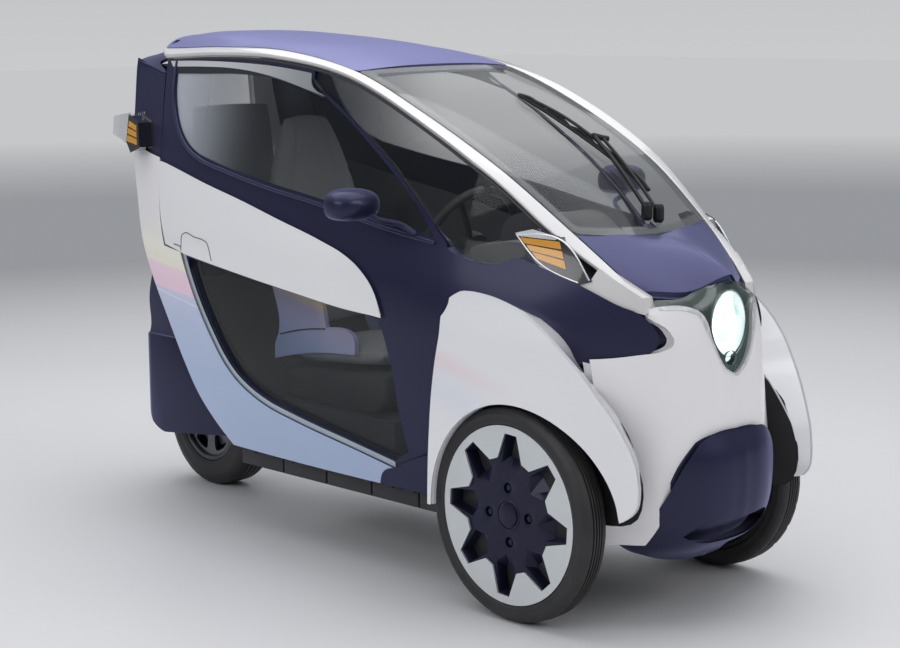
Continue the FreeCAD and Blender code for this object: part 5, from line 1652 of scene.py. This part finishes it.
quarter_rear_runs = chained(
    [(-1521, 1053), (-1541, 1180), (-1556, 1296)], [(-1724, 1329)],
    ([(-1714, 1250), (-1706, 1180), (-1697, 1090)], 12, 40), [(-1599, 1066)])
quarter_rear = panel("rear_quarter", quarter_rear_runs, body_side(0), TO_LEFT, 40, radius=4, pitch=12)
crown_edge = [(x, 1 - float(side_half_width(x, along(crown_low, x)))) for x in (-1556, -1600, -1660, -1722)]
crown_half = [
    [(-1736, 0), (-1732, -100), (-1724, -190), crown_edge[-1]],
    crown_edge[::-1],
    [crown_edge[0], (-1622, -242), (-1600, -228), (-1600, 0)],
]
crown_runs = crown_half + [[(x, -y) for x, y in run[::-1]] for run in crown_half[::-1]]
deck_mesh = panel("tail_deck", crown_runs, tail_crown, DOWN, 10, radius=4, pitch=12)
riser_runs = polygon_runs([(-222, 1352), (222, 1352), (216, 1378), (200, 1388), (-200, 1388), (-216, 1378)])
riser_mesh = panel("roof_riser", riser_runs, flat_end(-1601.0), (1, 0, 0), 10, radius=3, pitch=14)
quarters_mesh = joined("rear_quarters", [quarter_rear, mirror_of(quarter_rear, "quarter_far"), deck_mesh,
                                         riser_mesh])
link_piece("rear_quarters", quarters_mesh, body_navy, "body", "body_navy", "rear_quarters")
link_piece("tail_block", softened("tail_block", 9, "tail_block"), body_navy, "body", "body_navy",
           "tail_block")
back_runs = chained(
    [(-308, 804), (308, 804)], [(309, 950), (296, 1056)], [(258, 1100)], [(240, 1200), (218, 1313)],
    [(-218, 1313)], [(-240, 1200), (-258, 1100)], [(-296, 1056)], [(-309, 950)])
window_corners = [(-185, 1110), (185, 1110), (165, 1288), (-165, 1288)]
back_mesh = panel("back_panel", back_runs, tail_surface(0), (1, 0, 0), 26, radius=5, pitch=15,
                  holes=[polygon_runs(window_corners)])
back_seams = [swept("back_seam", [(along(tail_profile, z) + along(tail_plan, abs(y)) - 0.3, y, z)
                                  for y, z in smooth_run([(-285, z0), (0, z0 - 8), (285, z0)], 12)], 1.6,
                    sides=6)
              for z0 in (1062, 840)]
link_piece("back_panel", back_mesh, body_white, "body", "body_white", "back_panel")
link_piece("back_seams", joined("back_seams", back_seams), groove_black, "body", "body_white")
back_glass = panel("back_window",
                   polygon_runs([(y * 0.995, 1215 + (z - 1215) * 0.995) for y, z in window_corners]),
                   tail_surface(-4), (1, 0, 0), glass_thickness, radius=1, pitch=16)
link_piece("back_window", back_glass, window_tint, "body", "tinted_glass", "back_window")

winglet_corners = [(-1743, 1160), (-1660, 1171), (-1656, 1098), (-1740, 1121)]
winglet_mesh = panel("winglet", polygon_runs(winglet_corners), body_side(50), TO_LEFT, 50, radius=9, pitch=8)
lens_corners = [(-1661, 1171), (-1603, 1153), (-1576, 1083), (-1625, 1069), (-1658, 1097)]
tail_lens = panel("tail_lens", polygon_runs(lens_corners), body_side(51), TO_LEFT, 50, radius=4, pitch=8)
tail_bars = lens_bars("tail_bars", ((-1656, 1160), (-1658, 1094)), ((-1608, 1147), (-1588, 1086)), 52, 5, 1)
shell_clear = Finish("shell_clear", (0.72, 0.73, 0.74), Coat_Weight=1.0, Coat_Roughness=0.04)
shell_clear.set("Roughness", 0.2 + shell_clear.noise(20.0) * 0.12)
shell_clear.set("Metallic", 0.25 + shell_clear.noise(6.0) * 0.2)
link_pair("tail_winglets", winglet_mesh, shell_clear.material, "lamp_lens", "tail_lamps")
link_pair("tail_lenses", tail_lens, lamp_dark.material, "lamp_inside")
link_pair("tail_bars", tail_bars, lamp_amber.material, "amber_lens")

# Seats: foam cushions with sewn channels under a grey woven cover. The front one sits on a dark moulded base
# between two glossy side shells whose tint runs from pink over yellow to a lilac blue.
cover_cloth = Finish("cover_cloth")
weave_place = cover_cloth.node("ShaderNodeMapping", {}, cover_cloth.place(), Rotation=(0.0, 0.35, 0.0))
weave_a = cover_cloth.node("ShaderNodeTexWave", {"bands_direction": "Y"}, Vector=weave_place, Scale=260.0)
weave_b = cover_cloth.node("ShaderNodeTexWave", {"bands_direction": "Z"}, Vector=weave_place, Scale=260.0)
cloth_cloud = cover_cloth.noise(12.0, 3.0)
weave = weave_a * weave_b
cover_cloth.colours(weave * 0.6 + cloth_cloud * 0.4, (0.20, 0.21, 0.215), (0.36, 0.37, 0.375))
cover_cloth.set("Roughness", 0.78 + cloth_cloud * 0.15)
cover_cloth.bump(weave, 0.0006, 0.5)


seam_depth, seam_width, cross_seam_width = 0.10, 0.035, 0.03
edge_fullness, edge_swell, dome = 7, 0.42, 0.14
side_pull, end_pull = 0.06, 0.10


def cushion(name, place, half_length, half_width, thickness, seams=(), cross_seams=(), narrow=0.0, rows=46,
            columns=36):
    """Crowned pad: place(a, b, h) puts it in the car; seams are shares across, cross_seams along."""
    bm = bmesh.new()
    layers = []
    for sign in (1, -1):
        grid = []
        for i in range(rows + 1):
            u = -math.cos(math.pi * i / rows)
            line = []
            for j in range(columns + 1):
                v = -math.cos(math.pi * j / columns)
                square = math.sqrt(1 - side_pull * v * v), math.sqrt(1 - end_pull * u * u)
                swell = ((1 - abs(u) ** edge_fullness) * (1 - abs(v) ** edge_fullness)) ** edge_swell
                height = 0.5 * thickness * swell * (1 - dome + dome * (1 - u * u) * (1 - v * v))
                for seam in seams:
                    height -= seam_depth * thickness * swell * math.exp(-((v - seam) / seam_width) ** 2)
                for seam in cross_seams:
                    height -= seam_depth * thickness * swell * math.exp(-((u - seam) / cross_seam_width) ** 2)
                breadth = half_width * (1 - narrow * max(u, 0) ** 1.6)
                line.append(bm.verts.new(to_metres(place(u * half_length * square[0], v * breadth * square[1],
                                                         sign * height))))
            grid.append(line)
        layers.append(grid)
        for i in range(rows):
            for j in range(columns):
                quad = (grid[i][j], grid[i][j + 1], grid[i + 1][j + 1], grid[i + 1][j])
                bm.faces.new(quad if sign > 0 else quad[::-1])
    bmesh.ops.remove_doubles(bm, verts=bm.verts, dist=1e-6)
    return solid_mesh(name, bm, 60)


def tilted(middle, lean):
    """Placement of a pad: its length rises by lean degrees from the car's X axis, in the side view."""
    c, s = math.cos(math.radians(lean)), math.sin(math.radians(lean))
    return lambda a, b, h: (middle[0] + a * c - h * s, middle[1] + b, middle[2] + a * s + h * c)


seat_parts = [
    ("front_cushion", cushion("front_cushion", tilted((-912, 0, 526), 4.0), 206, 186, 72, (-0.52, 0.52),
                              (-0.3,)),
     ["front_seat"]),
    ("front_backrest", cushion("front_backrest", tilted((-1214, 0, 868), 97.3), 306, 166, 72, (-0.55, 0.55),
                               (-0.35, 0.45), narrow=0.52), []),
    ("rear_cushion", cushion("rear_cushion", tilted((-1457, 0, 835), -1.5), 108, 146, 48, (-0.5, 0.5)),
     ["rear_seat"]),
    ("rear_backrest", cushion("rear_backrest", tilted((-1599, 0, 1034), 95.2), 160, 146, 46, (-0.5, 0.5),
                              (0.3,)), []),
]
for seat_name, seat_mesh, stands_for in seat_parts:
    pad = link_piece(seat_name, seat_mesh, cover_cloth.material, "body", "seat_cloth", *stands_for)

shell_gloss = Finish("shell_gloss", Coat_Weight=1.0, Coat_Roughness=0.05, Roughness=0.35)
shell_x, _, shell_z = shell_gloss.xyz()
shell_cloud = shell_gloss.noise(4.0, 2.0)
shell_share = (shell_z - 0.36 + (shell_x - axle_x + 0.9) * 0.25 + (shell_cloud - 0.5) * 0.03) / 0.36
shell_gloss.set("Base Color", shell_gloss.node("ShaderNodeValToRGB", {"stops": [
    (0.0, (0.34, 0.44, 0.72)), (0.40, (0.34, 0.44, 0.72)), (0.55, (0.44, 0.48, 0.76)),
    (0.72, (0.50, 0.46, 0.70)), (0.80, (0.74, 0.62, 0.42)), (0.86, (0.78, 0.44, 0.46)),
    (1.0, (0.80, 0.46, 0.50))]}, shell_share))
shell_gloss.set("Roughness", 0.25 + shell_cloud * 0.1)
link_piece("seat_shell", softened("seat_shell", 16, "front_seat_shell"),
           grained_plastic("seat_base", (0.02, 0.022, 0.024)), "body", "cabin_plastic", "front_seat_shell")


def bolster(x, z):
    """Outer face of the shell's side bolster."""
    return np.stack([x, -206 + 8 * np.sin((z - 470) / 90), z], axis=-1)


side_shell = panel("side_shell", chained(
    [(-1172, 748), (-1159, 696), (-1134, 590), (-1138, 560), (-1152, 530), (-1150, 496)],
    [(-1001, 527), (-812, 543)], [(-812, 571), (-934, 594)], [(-951, 676), (-958, 748)], []),
    bolster, TO_LEFT, 14, radius=6, pitch=12)
seam_line = smooth_run([(-1134, 560), (-1040, 582), (-934, 596)], 8)
shell_seam = swept("shell_seam", bolster(seam_line[:, 0], seam_line[:, 1]) + (0, -0.5, 0), 2.4, sides=8)
link_pair("shell_seams", shell_seam, groove_black, "cabin_plastic")
link_pair("side_shells", side_shell, shell_gloss.material, "seat_shell")

# Dashboard and steering: a grained dash with a hooded display bolted to the bulkhead, and a leather-covered
# wheel with three flat spokes on the column.
dash_grain = grained_plastic("dash_grain", (0.10, 0.105, 0.11), 800.0, 0.6)
link_piece("dash_body", softened("dash_body", 14, "dashboard"), dash_grain, "body", "cabin_plastic",
           "dashboard")
hood_mesh = panel("display_hood", [
    [(-300, 884), (-290, 925), (-240, 952), (-170, 948), (-110, 905)],
    [(-110, 905), (-300, 884)],
], flat_side(-120.0), TO_LEFT, 240, radius=10, pitch=12)
display_mesh = panel("display", polygon_runs([(-96, 886), (96, 886), (92, 932), (-92, 932)]),
                     lambda y, z: np.stack([-301.5 + (z - 886) * 0.18, y, z], axis=-1), (1, 0, 0), 3,
                     radius=1, pitch=12)
link_piece("display_hood", hood_mesh, trim_plastic, "body", "cabin_plastic")
link_piece("display", display_mesh, lamp_dark.material, "body", "cabin_plastic")

wheel_tilt = math.radians(24)
column_out = np.array([-math.cos(wheel_tilt), 0.0, math.sin(wheel_tilt)])
column_up = np.array([math.sin(wheel_tilt), 0.0, math.cos(wheel_tilt)])
column_side = np.array([0.0, 1.0, 0.0])
steer_centre = np.array([-560.0, 0.0, 845.0])
steer_reach, steer_grip = 165, 13


def on_column(across_, upward, out):
    return steer_centre + column_side * across_ + column_up * upward + column_out * out


grip_points = [on_column(steer_reach * c, steer_reach * s, 0) for c, s in around(96)]
grip_mesh = swept("steering_grip", grip_points, steer_grip, sides=14, closed=True)
spoke_line = [(30, -14), (70, -14), (110, -9), (140, -3), (160, 0)]
spoke_meshes = []
for turn in (0, 120, 240):
    c, s = math.cos(math.radians(turn)), math.sin(math.radians(turn))
    spoke = [on_column(c * r, s * r, out) for r, out in spoke_line]
    spoke_meshes.append(swept("spoke", smooth_run(spoke, 8), 12, sides=12, squash=0.6))
hub_rings = []
for out, reach in ((-30, 40), (-28, 45), (-12, 46), (2, 42), (5, 34)):
    hub_rings.append([on_column(reach * c, reach * s, out) for c, s in around(40)])
steering_leather = Finish("steering_leather")
hide = steering_leather.node("ShaderNodeTexVoronoi", {"feature": "DISTANCE_TO_EDGE"},
                             Vector=steering_leather.place(), Scale=700.0)
steering_leather.colours(hide, (0.012, 0.012, 0.013), (0.035, 0.035, 0.037))
steering_leather.set("Roughness", 0.48 + steering_leather.noise(30.0) * 0.15)
steering_leather.bump(hide, 0.0003, 0.5)
link_piece("steering_rim", joined("steering_rim", [grip_mesh, *spoke_meshes, loft("hub", hub_rings)]),
           steering_leather.material, "steering_wheel", "cabin_plastic", "steering_wheel")

# Wiper: two parallel arms pivot in the scuttle and carry the blade on a spine with yokes, all black satin
# steel with a rubber lip.
screen_tree = bvhtree.BVHTree.FromPolygons([tuple(v.co) for v in screen_mesh.vertices],
                                           [tuple(p.vertices) for p in screen_mesh.polygons])


def above_glass(x, y, height):
    """Point at this height above the windscreen, in millimetres."""
    touch = screen_tree.ray_cast(Vector(to_metres((x, y, 1600.0))), Vector((0, 0, -1)))[0]
    return np.array([x, y, touch.z * 1000 + height])


def bowed(start, end, lift, reach=0.0):
    """Arm between two points, lifted in its middle and led sideways by reach."""
    return [start + (end - start) * t + (0, reach * math.sin(math.pi * t), lift * math.sin(math.pi * t))
            for t in np.linspace(0, 1, 7)]


def on_blade(i, height):
    """Point i of eleven along the blade, from its upper end."""
    return above_glass(-420 + 41 * i, 60 + 5 * i, height)


wiper_foot, wiper_knee = above_glass(66, 20, 20), above_glass(-180, 90, 30)
second_foot, second_knee = above_glass(76, 52, 20), above_glass(-170, 112, 30)
blade_line = [on_blade(i, 8) for i in range(11)]
spine_heights = (15, 20, 24, 26, 26, 24, 20, 15)
spine_line = [above_glass(-380 + 41 * i, 65 + 5 * i, height) for i, height in enumerate(spine_heights)]
wiper_parts = [swept("arm", smooth_run(bowed(wiper_foot, wiper_knee, 8), 8), 6, sides=10, squash=0.8),
               swept("arm_thin", smooth_run(bowed(second_foot, second_knee, 8), 8), 4.5, sides=8),
               swept("blade", smooth_run(blade_line, 10), 6, sides=8),
               swept("spine", smooth_run(spine_line, 8), 4.5, sides=8),
               swept("link", [wiper_knee, second_knee, second_knee + (6, 10, -2)], 8, sides=10)]
for i in (1, 3, 5, 7, 9):
    yoke = [blade_line[i - 1] + (0, 0, 2), on_blade(i, 18), blade_line[i + 1] + (0, 0, 2)]
    wiper_parts.append(swept("yoke", smooth_run(yoke, 6), 4, sides=8))
for foot in (wiper_foot, second_foot):
    wiper_parts.append(swept("pivot", [foot + (0, 0, -16), foot + (0, 0, 4), foot + (0, 0, 9)], 14, sides=16))
link_piece("wiper", joined("wiper", wiper_parts), satin_black_metal("wiper_black", (0.012, 0.012, 0.013)),
           "body", "wiper_black", "wiper")
bpy.context.view_layer.update()
